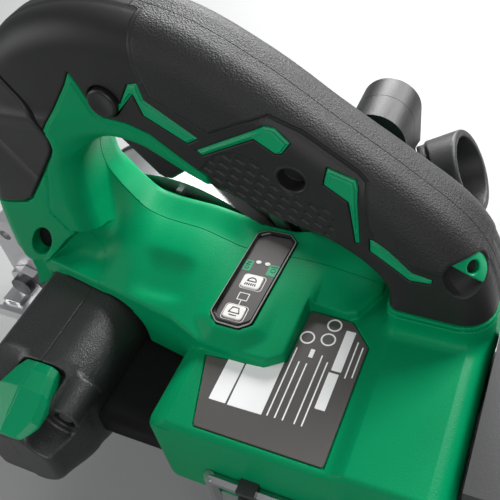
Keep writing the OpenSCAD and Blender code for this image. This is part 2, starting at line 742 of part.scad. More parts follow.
// reach of the soft overmould in side view; the green rim and star stay open
module grip_zone() difference() {
    polygon([[-18.4, 142], [-30.4, 159], [-70, 215], [190, 215], [190, foot_top], [106, foot_top],
        [80, 80], [40, 110], [0, 128]]);
    polygon([[-30, 100], [-18.4, 142], [1, 166], [5, 172], [7, 167], [11, 155], [14, 153], [24, 152],
        [33, 149], [42, 141], [53, 132], [56, 120], [56, 60], [0, 60]]);
}

// gap is taken off the overmould so that the shell fits inside it
module grip_cover(gap, inset) intersection() {
    difference() {
        handle_solid(gap);
        handle_solid(-overmould);
    }
    side(-60, 60) grip_zone();
}

module inlay_shapes() {
    polygon([[34, 171], [35, 164], [54, 150], [49, 147], [33, 157], [31, 166], [25, 160], [22, 157], [18, 158], [24, 161], [30, 170]]);
    polygon([[52, 144], [54, 142], [75, 155], [83, 147], [89, 153], [82, 159], [78, 159], [74, 157]]);
    polygon([[102, 144], [100, 136], [110, 131], [111, 109], [113, 110], [113, 138], [112, 140]]);
    polygon([[117, 115], [118, 107], [128, 99], [136, 97], [140, 97], [140, 99], [136, 99], [124, 112]]);
}

module grip_half(y0, y1) color("#1c1c1e") lifted() difference() {
    intersection() {
        grip_cover(0, 0);
        block(-90, 190, y0, y1, 0, 220);
    }
    side(-60, 60) inlay_shapes();
    shell_rooms();
    if (y1 == 0) left_screw_room();
}

module grip_left() grip_half(-60, 0);

module grip_right() grip_half(0, 60);

module inlay_half(y0, y1) color("#00905a") lifted() difference() {
    intersection() {
        handle_solid(0.3);
        side(y0, y1) inlay_shapes();
    }
    handle_solid(-overmould);
    rod(17, 161, -30, 30, lock_diameter / 2 + part_gap);
}

module inlays_left() inlay_half(-60, -8);

module inlays_right() inlay_half(8, 60);

module front_cover_zone(g) side(-60, 60) polygon([[-90, 91], [-61, 91], [-50, 93.5], [-45, 97.5],
    [-38, 107], [-22, 128], [-20, 132], [-19, 142], [-31, 159], [-70, 214], [-90, 214]]);

module front_cover() color("#28282a") lifted() intersection() {
    difference() {
        union() {
            loft(level(post_sections, 1.2));
            handle_solid(1);
        }
        block(-48, 20, -12, 12, 60, 200);
    }
    front_cover_zone(0);
}

module shell_screws() color("gray") lifted() {
    for (p = left_screws) difference() {
        union() {
            rod(p[0], p[1], p[2], 11, screw_shank / 2);
            rod(p[0], p[1], p[2] - 2.4, p[2], screw_head / 2);
        }
        rod(p[0], p[1], p[2] - 3, p[2] - 1, 1.6);
    }
    for (p = right_screws) difference() {
        union() {
            rod(p[0], p[1], -11, p[2], screw_shank / 2);
            rod(p[0], p[1], p[2], p[2] + 2.4, screw_head / 2);
        }
        rod(p[0], p[1], p[2] + 1, p[2] + 3, 1.6);
    }
}

// ---------- controls ----------

module trigger() color("#141416") lifted() difference() {
    side(-trigger_width / 2, trigger_width / 2) polygon([[-2, 135], [-1, 148], [4, 150], [12, 149], [48, 142], [50, 132], [37, 121],
        [29, 114.5], [24, 113.5], [20, 115.5], [8, 133], [4, 135]]);
    rod(4, 146, -20, 20, 2 + running_clearance);
}

module trigger_switch() color("#3a3a3c") lifted() {
    translate([34, 0, 157]) rotate([0, 14, 0]) block(-9, 28, -10.8, 10.8, -2, 11);
    rod(4, 146, -trigger_width / 2 - 0.2, trigger_width / 2 + 0.2, 2);
}

module lock_bar() color("#333335") lifted() {
    rod(17, 161, -20.5, 20.5, lock_diameter / 2);
}

module eye_outline() polygon([[146, 113], [150, 122], [158, 119], [162, 111], [158, 103], [149, 104]]);

module strap_eye() color("#00905a") lifted() difference() {
    side(-19, -14) eye_outline();
    rod(154.5, 112.5, -30, 0, 3.5);
}

module panel_at() translate([panel_x, panel_y, panel_z + shell_lift]) children();

module octagon(w, l, c) polygon([[-w / 2, -l / 2 + c], [-w / 2 + c, -l / 2], [w / 2 - c, -l / 2], [w / 2, -l / 2 + c],
    [w / 2, l / 2 - c], [w / 2 - c, l / 2], [-w / 2 + c, l / 2], [-w / 2, l / 2 - c]]);

module panel_frame() color("black") panel_at() difference() {
    translate([0, 0, -7.8]) linear_extrude(8.6) octagon(panel_width - 0.4, panel_length - 0.4, 4);
    translate([0, 0, -1.4]) linear_extrude(8) octagon(panel_width - 3.4, panel_length - 3.4, 3.2);
    for (y = key_spots) translate([-0.6, y, -9]) linear_extrude(9) square([9, 8], center = true);
}

module panel_face() color("gray") panel_at() difference() {
    translate([0, 0, -1.3]) linear_extrude(0.6) octagon(panel_width - 3.6, panel_length - 3.6, 3.1);
    for (y = key_spots) translate([-0.6, y, -2]) linear_extrude(4) square([8.8, 7.8], center = true);
    translate([-0.6, lamp_spot, -2]) linear_extrude(4) square([3.4, 3.4], center = true);
    translate([-1.8, 7.6, -2]) linear_extrude(4) circle(1.4);
    translate([2.6, 7.6, -2]) linear_extrude(4) circle(1.4);
}

module key(y) panel_at() translate([-0.6, y, -4]) linear_extrude(4.2) square([8.2, 7.2], center = true);

module mode_button() color("white") key(key_spots[1]);

module lamp_button() color("white") key(key_spots[0]);

module status_leds() color("palegreen") panel_at() {
    translate([-0.6, lamp_spot, -1.3]) linear_extrude(0.7) square([3, 3], center = true);
    translate([-1.8, 7.6, -1.3]) linear_extrude(0.7) circle(1.2);
    translate([2.6, 7.6, -1.3]) linear_extrude(0.7) circle(1.2);
}

module plate_outline(g) polygon([[58 - g, -54.5 + g], [65 - g, -84 - g], [119 + g, -84 - g], [119.5 + g, -31 + g],
    [109.5 + g, -23 + g], [96 - g, -23 + g], [94 - g, -46 + g], [86, -54.5 + g]]);

module nameplate() color("#3c3c40") lifted() translate([0, 0, rear_deck - plate_thickness])
    linear_extrude(plate_thickness) plate_outline(0);

module head_lamp() color("white") lifted() difference() {
    block(-66, -58.3, -8.7, 4.7, 68.3, 77.7);
    block(-64, -57, -6.7, 2.7, 70.3, 75.7);
}

// ---------- electrics ----------

module controller() color("#20503a") lifted() {
    block(64, board_end, -78, 6, 30, 33);
    for (x = [70, board_end - 7]) for (y = [-74, 0]) translate([x, y, 18]) cylinder(h = 13, r = 3);
    block(66, board_end - 7, -70, -40, 33, 45);
    for (x = [72:9:board_end - 6]) translate([x, -20, 33]) cylinder(h = 16, r = 4);
}

module terminal_block() color("#1a1a1a") lifted() {
    block(battery_nose, 138, battery_y0 + 18, battery_y1 - 18, battery_shelf + 4, battery_shelf + 9.5);
    for (k = [0:3]) block(battery_nose + 4, 134, battery_y0 + 24 + 8 * k, battery_y0 + 25 + 8 * k, battery_shelf - 4, battery_shelf + 5);
}

module battery_pack() color("#1b1b1d") lifted() difference() {
    union() {
        block(battery_nose + 0.5, battery_rear, battery_y0, battery_y1, battery_z0, battery_shelf);
        block(167, battery_rear, battery_y0, battery_y1, battery_shelf - 1, battery_top);
    }
    for (k = [0:3]) block(battery_nose, 136, battery_y0 + 23 + 8 * k, battery_y0 + 26 + 8 * k, battery_shelf - 5, battery_shelf + 1);
    // latch pockets
    block(188, 212, battery_y0 - 1, battery_y0 + 8, 52, 64);
    block(188, 212, battery_y1 - 8, battery_y1 + 1, 52, 64);
    // chamfers along the bottom
    for (y = [battery_y0, battery_y1]) translate([battery_nose, y, battery_z0]) rotate([45, 0, 0]) block(-1, battery_length + 1, -3, 3, -3, 3);
    translate([battery_rear, 0, battery_z0]) rotate([0, 45, 0]) block(-3, 3, battery_y0 - 1, battery_y1 + 1, -3, 3);
    translate([battery_rear, 0, battery_top]) rotate([0, 45, 0]) block(-3, 3, battery_y0 - 1, battery_y1 + 1, -3, 3);
}

module latch_left() color("#8a8a8e") lifted() block(188.5, 211.5, battery_y0 - 0.8, battery_y0 + 4, 52.5, 63.5);

module latch_right() color("#8a8a8e") lifted() block(188.5, 211.5, battery_y1 - 4, battery_y1 + 0.8, 52.5, 63.5);

// ---------- sole ----------

module sole_plate() color("#c8cacc") difference() {
    union() {
        block(-sole_front, sole_rear, -sole_inner, sole_outer, 0, sole_thickness);
        block(-sole_front, sole_rear, sole_outer - sole_thickness, sole_outer, 0, 7);
        block(-sole_front, -40, -sole_inner, -sole_inner + sole_thickness, 0, 7);
        for (y = [arm_back - 5.4, arm_front + 0.4]) side(y, y + 5)
            polygon([[pivot_x - 12, 0], [pivot_x - 8, pivot_height + 6], [pivot_x, pivot_height + 9], [pivot_x + 8, pivot_height + 6], [pivot_x + 14, 0]]);
        block(-sole_front, -sole_front + 12, -20, 50, 0, 5);
        block(clamp_x - 14, clamp_x + 14, 14, link_front, 0, 8);
    }
    // opening for the blade and guard
    block(-guard_radius - 4, guard_radius + 6, case_back + 1, case_back + case_width - 3, -1, 12);
    rod(pivot_x, pivot_height, -20, 30, pivot_diameter / 2);
    // slot seat of the depth link
    block(clamp_x - 12, clamp_x + 12, link_back, link_front + 1, sole_thickness, 9);
    // fence slot and screw
    block(-sole_front + 3, -sole_front + 9, -24, 70, sole_thickness + 0.2, 4);
    translate([-sole_front + 6, 44, -1]) cylinder(h = 10, r = 2.5);
    // sight notch
    translate([-sole_front, blade_offset, -1]) rotate([0, 0, 45]) cube([5, 5, 20], center = true);
    for (y = [-18, 52]) translate([90, y, -1]) cylinder(h = 10, r = 3);
}

module depth_pivot_pin() color("gray") {
    rod(pivot_x, pivot_height, arm_back - 8, arm_front + 8, pivot_diameter / 2);
    rod(pivot_x, pivot_height, arm_back - 10, arm_back - 5.4, pivot_diameter / 2 + 2.5);
}

module depth_link() color("gray") difference() {
    side(link_back, link_front) difference() {
        union() {
            intersection() {
                translate([pivot_x, pivot_height]) difference() {
                    circle(link_radius + 9, $fn = 120);
                    circle(link_radius - 9, $fn = 120);
                }
                polygon([[30, sole_thickness], [clamp_x + 20, sole_thickness], [clamp_x + 20, 60], [clamp_x + 2, 90], [30, 78]]);
            }
            polygon([[clamp_x - 12, sole_thickness], [clamp_x + 12, sole_thickness], [clamp_x + 12, 20], [clamp_x - 8, 20]]);
        }
        translate([pivot_x, pivot_height]) intersection() {
            difference() {
                circle(link_radius + clamp_diameter / 2 + 0.3, $fn = 120);
                circle(link_radius - clamp_diameter / 2 - 0.3, $fn = 120);
            }
            polygon([[100, 100 * tan(link_start - 1.4)], [210, 210 * tan(link_start - 1.4)], [210, 210 * tan(link_start + depth_swing + 1.4)],
                [100, 100 * tan(link_start + depth_swing + 1.4)]]);
        }
    }
}

module depth_bolt() color("gray") {
    rod(clamp_x, clamp_z, 8, link_front + 6, clamp_diameter / 2);
}

module depth_lever() color("#202022") difference() {
    side(link_front + 0.4, link_front + 5) union() {
        translate([clamp_x, clamp_z]) circle(7);
        polygon([[clamp_x, clamp_z - 7], [clamp_x + 34, clamp_z - 9], [clamp_x + 38, clamp_z - 4], [clamp_x + 34, clamp_z + 1], [clamp_x, clamp_z + 7]]);
    }
    rod(clamp_x, clamp_z, link_front, link_front + 8, clamp_diameter / 2 + running_clearance);
}

// ---------- wrench ----------

module hex_wrench() color("#303030") lifted() {
    translate([70, -91, 34]) rotate([0, 90, 0]) cylinder(h = 78, r = 2.5, $fn = 6);
    translate([70, -91, 14]) cylinder(h = 22, r = 2.5, $fn = 6);
}

module wrench_clip() color("#1a1a1c") lifted() for (x = [84, 124]) difference() {
    block(x, x + 8, -94.6, -88, 29.4, 38.6);
    translate([x - 1, -91, 34]) rotate([0, 90, 0]) cylinder(h = 12, r = 2.9);
    block(x - 1, x + 9, -100, -91, 32, 36);
}

sole_plate();
depth_pivot_pin();
depth_link();
gear_case();
motor_bracket();
spindle();
spur_gear();
spindle_bearing();
needle_bearing();
inner_flange();
outer_flange();
blade_bolt();
blade();
lower_guard();
guard_lever();
dust_chamber();
dust_cover();
cover_screws();
dust_nozzle();
motor_housing();
motor_tail();
tail_bumper();
tail_screws();
stator();
rotor();
fan();
pinion();
front_bearing();
rear_bearing();
spindle_lock();
housing_left();
housing_right();
grip_left();
grip_right();
inlays_left();
inlays_right();
front_cover();
shell_screws();
trigger();
trigger_switch();
lock_bar();
strap_eye();
panel_frame();
panel_face();
lamp_button();
mode_button();
status_leds();
nameplate();
head_lamp();
controller();
terminal_block();
battery_pack();
latch_left();
latch_right();
depth_bolt();
depth_lever();
hex_wrench();
wrench_clip();
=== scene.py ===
# %% [markdown]
# # A cordless metal-cutting saw, finished around its CAD frame
# The frame holds the engineering: gears, blade, sole, joints and sizes. This script gives the saw its
# looks. The moulded shells of a power tool have no straight edges to speak of, so they are described as
# distance fields (how far a point is from the skin) and meshed. Small crisp pieces, such as the control
# panel and the nameplate, are built in mesh code. Everything is in metres in the end; the fields work in
# millimetres, because that is how a moulding is drawn.

# %% Load the frame
import json
import math

import bmesh
import bpy
import numpy as np
import openvdb
from mathutils import Matrix, Vector


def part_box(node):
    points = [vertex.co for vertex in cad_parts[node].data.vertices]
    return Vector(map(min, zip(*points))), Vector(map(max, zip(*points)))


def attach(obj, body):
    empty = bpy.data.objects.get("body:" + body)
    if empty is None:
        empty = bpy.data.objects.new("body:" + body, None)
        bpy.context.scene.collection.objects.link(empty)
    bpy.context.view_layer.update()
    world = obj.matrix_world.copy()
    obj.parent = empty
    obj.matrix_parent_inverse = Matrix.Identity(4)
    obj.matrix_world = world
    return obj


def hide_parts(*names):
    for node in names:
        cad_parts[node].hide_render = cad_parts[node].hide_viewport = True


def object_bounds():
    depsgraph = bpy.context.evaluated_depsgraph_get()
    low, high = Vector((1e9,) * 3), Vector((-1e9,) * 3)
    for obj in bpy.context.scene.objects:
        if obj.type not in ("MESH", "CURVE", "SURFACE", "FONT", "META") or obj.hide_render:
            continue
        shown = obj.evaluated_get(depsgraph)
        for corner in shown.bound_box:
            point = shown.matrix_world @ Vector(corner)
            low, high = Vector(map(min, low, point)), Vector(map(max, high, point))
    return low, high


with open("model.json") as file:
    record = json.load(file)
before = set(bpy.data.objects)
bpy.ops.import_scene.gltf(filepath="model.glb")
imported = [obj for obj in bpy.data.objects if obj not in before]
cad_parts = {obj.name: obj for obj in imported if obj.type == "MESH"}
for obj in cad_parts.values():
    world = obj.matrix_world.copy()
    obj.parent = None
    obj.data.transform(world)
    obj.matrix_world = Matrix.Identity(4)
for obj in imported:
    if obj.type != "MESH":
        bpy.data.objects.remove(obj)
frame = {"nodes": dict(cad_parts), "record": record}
cad_box = [list(v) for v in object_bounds()]
MM = 0.001
LIFT = 3.0          # the housing rides this much above its lowest setting
nodes = frame["nodes"]
scene = bpy.context.scene
print("frame:", len(nodes), "nodes; box", [[round(c, 3) for c in v] for v in cad_box])

# %% [markdown]
# ## Shader expressions
# A material is a graph of nodes. Writing the graph as ordinary arithmetic is shorter and easier to check, so
# one small class wraps a socket: an expression on two values adds the Math node, and one method makes every
# other node from its type, its settings and its inputs. The backdrop uses it too.

# %% Shader expressions
class Value:
    """A socket in one node tree; without a socket, a start from which nodes are added."""

    def __init__(self, tree, socket):
        self.tree, self.socket = tree, socket

    def node(self, kind, settings=None, inputs=None, out=0):
        made = self.tree.nodes.new(kind)
        for key, val in (settings or {}).items():
            setattr(made, key, val)
        for key, val in (inputs or {}).items():
            target = made.inputs[key]
            if isinstance(val, Value):
                self.tree.links.new(val.socket, target)
            else:
                target.default_value = val
        return self if out is None else Value(self.tree, made.outputs[out])

    def math(self, operation, a, b, clamp=False):
        return self.node("ShaderNodeMath", {"operation": operation, "use_clamp": clamp}, {0: a, 1: b})

    def __add__(self, other): return self.math("ADD", self, other)
    def __radd__(self, other): return self.math("ADD", other, self)
    def __sub__(self, other): return self.math("SUBTRACT", self, other)
    def __rsub__(self, other): return self.math("SUBTRACT", other, self)
    def __mul__(self, other): return self.math("MULTIPLY", self, other)
    def __rmul__(self, other): return self.math("MULTIPLY", other, self)

    def mix(self, a, b):
        """Colour a where this value is 0 and b where it is 1."""
        return self.node("ShaderNodeMix", {"data_type": "RGBA"}, {0: self, 6: a, 7: b}, out=2)


print("a value knows", [name for name in vars(Value) if not name.startswith("__")])

# %% [markdown]
# ## Camera and light
# A longish lens stands close to the tool. The main soft box hangs behind it, a second one lights it from the
# battery end, and weaker ones fill in from the side, the front and above. The backdrop is white only where
# the camera looks at it, and a little where a reflection does, so it adds no light of its own.

# %% Camera
cam_data = bpy.data.cameras.new("camera")
cam_data.sensor_width = 36
cam_data.lens = 50.4
cam_data.clip_start = 0.01
cam = bpy.data.objects.new("camera", cam_data)
scene.collection.objects.link(cam)
eye = Vector((172.23, -187.04, 305.87)) * MM
right = Vector((0.908, 0.3939, -0.1427))
up = Vector((-0.2006, 0.7079, 0.6773))
back = Vector((0.3678, -0.5863, 0.7218))
turn = Matrix((right, up, back)).transposed().to_4x4()
cam.matrix_world = Matrix.Translation(eye) @ turn
scene.camera = cam
scene.view_settings.view_transform = "Standard"
print("camera at", [round(c, 3) for c in cam.matrix_world.translation])


# %% Lights and surround
def area_light(name, place, target, size, power):
    data = bpy.data.lights.new(name, "AREA")
    data.shape = "RECTANGLE"
    data.size, data.size_y = size
    data.energy = power
    lamp = bpy.data.objects.new(name, data)
    lamp.location = place
    lamp.rotation_euler = (Vector(target) - Vector(place)).to_track_quat("-Z", "Y").to_euler()
    scene.collection.objects.link(lamp)


middle = (0.05, -0.02, 0.08)
area_light("key_box", (-0.05, 0.92, 0.62), middle, (0.5, 0.4), 18.0)
area_light("rear_box", (0.55, 0.6, 0.6), middle, (0.4, 0.4), 12.0)
area_light("side_box", (-0.8, -0.4, 0.42), middle, (0.4, 0.6), 3.2)
area_light("front_fill", (0.35, -0.75, 0.5), middle, (0.7, 0.5), 3.7)
area_light("top_box", (-0.1, 0.05, 1.1), middle, (0.5, 0.5), 1.3)
world = bpy.data.worlds.new("studio")
scene.world = world
world.use_nodes = True
world.node_tree.nodes.clear()
sky = Value(world.node_tree, None)
glossy_share = 0.14    # how much of the white room a reflection sees
camera, glossy, through = (sky.node("ShaderNodeLightPath", out="Is %s Ray" % kind)
    for kind in ("Camera", "Glossy", "Transmission"))
dim = sky.node("ShaderNodeBackground", None, {"Color": (0.9, 0.95, 1.0, 1), "Strength": 0.1})
white = sky.node("ShaderNodeBackground", None, {"Strength": 0.86})
seen = sky.math("ADD", camera + glossy_share * glossy, through, clamp=True)
room = sky.node("ShaderNodeMixShader", None, {0: seen, 1: dim, 2: white})
sky.node("ShaderNodeOutputWorld", None, {"Surface": room}, out=None)

# %% [markdown]
# ## Materials
# Moulded plastic is coloured right through, so its colour hardly varies. What the eye reads is the finish:
# spark-eroded texture on the motor, a leathery grain on the soft grip, a satin skin on the green shells.
# Each finish is a small expression on noise, fed to colour, roughness and a bump. An image would do it too,
# but noise needs no unwrapping and has no seams, which suits meshes that come out of a field.

# %% Finish helpers
def material(name, base, rough, metal=0.0, coat=0.0, spec=0.5, build=None):
    mat = bpy.data.materials.new(name)
    mat.use_nodes = True
    mat.diffuse_color = (*base, 1)
    tree = mat.node_tree
    shader = tree.nodes["Principled BSDF"]
    shader.inputs["Base Color"].default_value = (*base, 1)
    shader.inputs["Roughness"].default_value = rough
    shader.inputs["Metallic"].default_value = metal
    shader.inputs["Coat Weight"].default_value = coat
    shader.inputs["Specular IOR Level"].default_value = spec
    if build:
        start = Value(tree, None)
        coord = start.node("ShaderNodeTexCoord", out=3)
        for key, val in build(start, coord).items():
            tree.links.new(val.socket, shader.inputs[key])
    return mat


def noise(v, coord, scale, detail=3.0, rough=0.55):
    return v.node("ShaderNodeTexNoise", None, {"Vector": coord, "Scale": scale, "Detail": detail,
        "Roughness": rough})


def bump(v, height, depth):
    """depth is the real height of the relief, in metres."""
    return v.node("ShaderNodeBump", None, {"Height": height, "Distance": depth, "Strength": 1.0})


def satin(base, rough, grain_scale, depth, tone=0.06, spread=0.08):
    """Moulded plastic: a fine grain, with soft patches in colour and shine."""
    def build(v, coord):
        grain = noise(v, coord, grain_scale, 2.0, 0.6)
        patch = noise(v, coord, 35.0, 2.0)
        dark = (*(c * (1 - tone) for c in base), 1.0)
        light = (*(min(1, c * (1 + tone)) for c in base), 1.0)
        return {"Base Color": patch.mix(dark, light),
            "Roughness": rough - spread / 2 + patch * spread,
            "Normal": bump(v, grain, depth)}
    return build


def masked_grain(base, rough, scale, depth, fine_scale, fine_depth):
    """Grain that follows the mesh's own 'grain' value, from smooth at 0 to leathery at 1."""
    def build(v, coord):
        amount = v.node("ShaderNodeAttribute", {"attribute_name": "grain"}, out=2)
        big = v.node("ShaderNodeTexVoronoi", {"feature": "SMOOTH_F1"}, {"Vector": coord, "Scale": scale})
        wobble = noise(v, coord, scale * 0.9, 3.0)
        fine = noise(v, coord, fine_scale, 2.0)
        height = (big * 0.6 + wobble * 0.8) * amount * depth + fine * fine_depth
        patch = noise(v, coord, 40.0, 2.0)
        worn = amount * 0.5 + patch * 0.25
        dark, light = ((*(c * share for c in base), 1.0) for share in (0.85, 1.25))
        return {"Base Color": worn.mix(dark, light),
            "Roughness": rough + amount * 0.06 + patch * 0.05,
            "Normal": bump(v, height, 1.0)}
    return build


print("materials so far:", len(bpy.data.materials))


# %% Finishes
def moulded(name, base, rough, grain_scale, depth, spec=0.5, coat=0.0, metal=0.0, tone=0.06, spread=0.08):
    """A finish in one even colour; grain_scale is in grains per metre, depth in metres."""
    looks[name] = material(name, base, rough, metal, coat, spec,
        satin(base, rough, grain_scale, depth, tone, spread))


looks = {}
moulded("green_shell", (0.0, 0.235, 0.088), 0.42, 1300.0, 0.0001, 0.1)
moulded("green_smooth", (0.0, 0.27, 0.108), 0.32, 2500.0, 0.00002, 0.25)
moulded("spark_black", (0.011, 0.011, 0.0115), 0.42, 1500.0, 0.0003, 0.75)
moulded("cover_black", (0.02, 0.02, 0.0205), 0.45, 2100.0, 0.0001, 0.34)
moulded("satin_black", (0.012, 0.012, 0.0125), 0.34, 2600.0, 0.00002, 0.36)
moulded("shadow_black", (0.004, 0.004, 0.004), 0.6, 1700.0, 0.00005, 0.15)
moulded("gloss_black", (0.006, 0.006, 0.0065), 0.16, 600.0, 0.00001, 0.4, 0.3)
looks["grip_rubber"] = material("grip_rubber", (0.02, 0.02, 0.02), 0.5, spec=0.28,
    build=masked_grain((0.018, 0.018, 0.0185), 0.45, 1500.0, 0.0003, 3000.0, 0.00004))
for name, base, rough in (
        # the first grey here is a painted highlight for the panel frame's polished edge
        ("edge_grey", (0.32, 0.31, 0.3), 0.35), ("panel_film", (0.085, 0.075, 0.075), 0.42),
        ("key_white", (0.85, 0.83, 0.8), 0.38), ("print_black", (0.01, 0.01, 0.01), 0.4),
        ("print_dark", (0.01, 0.06, 0.03), 0.4), ("print_pale", (0.8, 0.78, 0.75), 0.42),
        ("print_green", (0.02, 0.36, 0.17), 0.4), ("plate_grey", (0.085, 0.078, 0.074), 0.4),
        ("print_white", (0.95, 0.95, 0.95), 0.45)):
    moulded(name, base, rough, 2200.0, 0.00001, tone=0.04, spread=0.05)
print(len(looks), "finishes")

# %% [markdown]
# ## Distance fields
# A field returns the distance in millimetres to a skin, negative inside. Two fields join with a minimum
# and cut with a maximum; a smooth minimum leaves a fillet, which is how the pattern maker blends a post
# into a body. Subdivided cages could give such blends too, but every new rib or scoop would mean new edge
# loops, while a field only takes one more line.

# %% Field helpers
def smin(a, b, k):
    """Join two fields; k is about the radius of the fillet."""
    h = np.clip(0.5 + 0.5 * (b - a) / k, 0, 1)
    return b + (a - b) * h - k * h * (1 - h)


def smax(a, b, k):
    return -smin(-a, -b, k)


def smooth(v, lo, hi):
    """0 below lo, 1 above hi, and an easy curve between them."""
    t = np.clip((v - lo) / (hi - lo), 0, 1)
    return t * t * (3 - 2 * t)


def bell(v, width):
    """1 on a line, fading to either side of it."""
    return np.exp(-(v / width) ** 2)


print("two skins that cross, blended over 4 mm:", round(float(smin(0.0, 0.0, 4.0)), 2), "mm")


# %% Outlines and tables
def to_edges(u, v, pts, closed):
    """Squared distance to the edges of a polygon or an open line, and whether the point is inside."""
    pts = np.asarray(pts, np.float32)
    ends = np.roll(pts, -1, 0) if closed else pts[1:]
    d = np.full(u.shape, 1e9, np.float32)
    inside = np.zeros(u.shape, bool)
    for (ax, ay), (bx, by) in zip(pts, ends):
        ex, ey = bx - ax, by - ay
        t = np.clip(((u - ax) * ex + (v - ay) * ey) / (ex * ex + ey * ey), 0, 1)
        d = np.minimum(d, (u - ax - t * ex) ** 2 + (v - ay - t * ey) ** 2)
        if closed and ay != by:
            inside ^= ((ay > v) != (by > v)) & (u < (v - ay) * ex / ey + ax)
    return d, inside


def outline(u, v, pts):
    """Signed distance to a polygon in the plane of u and v."""
    d, inside = to_edges(u, v, pts, True)
    return np.where(inside, -1, 1) * np.sqrt(d)


def trail(u, v, pts):
    """Distance to an open line."""
    return np.sqrt(to_edges(u, v, pts, False)[0])


def rounded(u, v, u0, u1, v0, v1, r):
    """Rounded rectangle; every limit may vary from point to point."""
    qu = np.abs(u - (u0 + u1) / 2) - (u1 - u0) / 2 + r
    qv = np.abs(v - (v0 + v1) / 2) - (v1 - v0) / 2 + r
    return np.sqrt(np.maximum(qu, 0) ** 2 + np.maximum(qv, 0) ** 2) + np.minimum(np.maximum(qu, qv), 0) - r


def along(t, table, column):
    """A column of a table of sections, interpolated with a smooth curve that never overshoots."""
    rows = np.asarray(table, np.float32)
    xs, ys = rows[:, 0], rows[:, column]
    slope = np.gradient(ys, xs)
    i = np.clip(np.searchsorted(xs, t) - 1, 0, len(xs) - 2)
    w, a, b = xs[i + 1] - xs[i], ys[i], ys[i + 1]
    s = np.clip((t - xs[i]) / w, 0, 1)
    chord = (b - a) / w
    m0, m1 = (np.where(m * chord <= 0, 0, np.sign(chord) * np.minimum(np.abs(m), 3 * np.abs(chord)))
        for m in (slope[i], slope[i + 1]))
    s2, s3 = s * s, s * s * s
    return ((2 * s3 - 3 * s2 + 1) * a + (s3 - 2 * s2 + s) * w * m0
        + (3 * s2 - 2 * s3) * b + (s3 - s2) * w * m1).astype(np.float32)


def hole(x, z, at, r):
    return np.hypot(x - at[0], z - at[1]) - r


print("3 mm from the centre of a hole of radius 2:", float(hole(3.0, 0.0, (0, 0), 2)), "mm")

# %% [markdown]
# ## From field to mesh
# The field is sampled only in blocks near the skin and turned into quads. Each corner is then moved along the
# slope of the field until it lies on the skin. The same slope gives the exact shading normal, so a fine
# groove stays crisp without millions of faces. Where a shell ends at the parting line, the corners are set
# on that line, or the edge would look like a saw.

# %% Mesher
def slope_of(field, p, e=0.04):
    steps = np.eye(3, dtype=np.float32) * e
    g = np.stack([field(*(p + s).T) - field(*(p - s).T) for s in steps], 1)
    return g / np.maximum(np.linalg.norm(g, axis=1, keepdims=True), 1e-6)


def skin(field, lo, hi, step, seam=None, block=8, far=9.0):
    """Points, slopes and faces of the zero level of a field inside a box, in millimetres.

    seam is (field before it was split, y of the split): corners near both are set on the crossing line."""
    lo, hi = np.array(lo, np.float32) - 2 * step, np.array(hi, np.float32) + 2 * step
    count = np.ceil((hi - lo) / (step * block)).astype(int)
    centre = [lo[k] + (np.arange(count[k]) + 0.5) * block * step for k in range(3)]
    gx, gy, gz = (a.ravel().astype(np.float32) for a in np.meshgrid(*centre, indexing="ij"))
    coarse = field(gx, gy, gz).reshape(count)
    grid = np.kron(np.sign(coarse) * far, np.ones((block, block, block))).astype(np.float32)
    near = np.argwhere(np.abs(coarse) < block * step * 1.3)
    offs = np.stack(np.meshgrid(*[np.arange(block)] * 3, indexing="ij"), -1).reshape(-1, 3)
    blocks_at_once = 400
    for part in np.array_split(near, max(1, len(near) // blocks_at_once)):
        idx = (part[:, None, :] * block + offs[None]).reshape(-1, 3)
        d = field(*(lo + (idx + 0.5) * step).astype(np.float32).T)
        grid[idx[:, 0], idx[:, 1], idx[:, 2]] = np.clip(d, -far, far)
    vdb = openvdb.FloatGrid(far)
    vdb.copyFromArray(grid)
    pts, tris, quads = vdb.convertToPolygons(0.0, 0.0)
    pts = (lo + (pts + 0.5) * step).astype(np.float32)
    for _ in range(2):
        pts = pts - slope_of(field, pts) * np.clip(field(*pts.T), -0.5 * step, 0.5 * step)[:, None]
    slope = slope_of(field, pts)
    if seam:
        whole, plane = seam
        reach = 0.75 * step
        pick = np.where((np.abs(pts[:, 1] - plane) < reach) & (np.abs(whole(*pts.T)) < reach))[0]
        line = pts[pick]
        line[:, 1] = plane
        for _ in range(3):
            g = slope_of(whole, line)
            flat = np.maximum(g[:, 0] ** 2 + g[:, 2] ** 2, 0.2)
            line[:, ::2] -= g[:, ::2] * (whole(*line.T) / flat)[:, None]
        kept = np.linalg.norm(line - pts[pick], axis=1) < 1.5 * step
        pts[pick[kept]], slope[pick[kept]] = line[kept], g[kept]
    return pts, slope, quads, tris


print("full meshes")


# %% Piece from a field
def field_piece(name, field, lo, hi, step, look, body, paint=None, seam=None):
    """Mesh a field, give it a material and let it ride on a body. paint writes the 'grain' value."""
    pts, slope, quads, tris = skin(field, lo, hi, step * (1.0), seam)
    mesh = bpy.data.meshes.new(name)
    mesh.from_pydata((pts * MM).tolist(), [], quads.tolist() + tris.tolist())
    q = pts[quads]
    n = np.cross(q[:, 2] - q[:, 0], q[:, 3] - q[:, 1])
    if np.sum(n * slope[quads[:, 0]]) < 0:
        mesh.flip_normals()
    mesh.polygons.foreach_set("use_smooth", [True] * len(mesh.polygons))
    mesh.normals_split_custom_set_from_vertices(slope.tolist())
    if paint:
        layer = mesh.attributes.new("grain", "FLOAT", "POINT")
        layer.data.foreach_set("value", paint(*pts.T).astype(np.float32))
    mesh.materials.append(looks[look])
    piece = bpy.data.objects.new(name, mesh)
    scene.collection.objects.link(piece)
    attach(piece, body)
    print(name, len(pts), "points")
    return piece


# %% [markdown]
# ## The handle's path
# The grip is a rounded rectangle swept along a curve that rises over the front post, runs down and back,
# and drops into the rear deck. Its top corners are rounder than its lower ones, so that it fills a palm. As a
# field, the sweep blends into the post and the deck by itself.

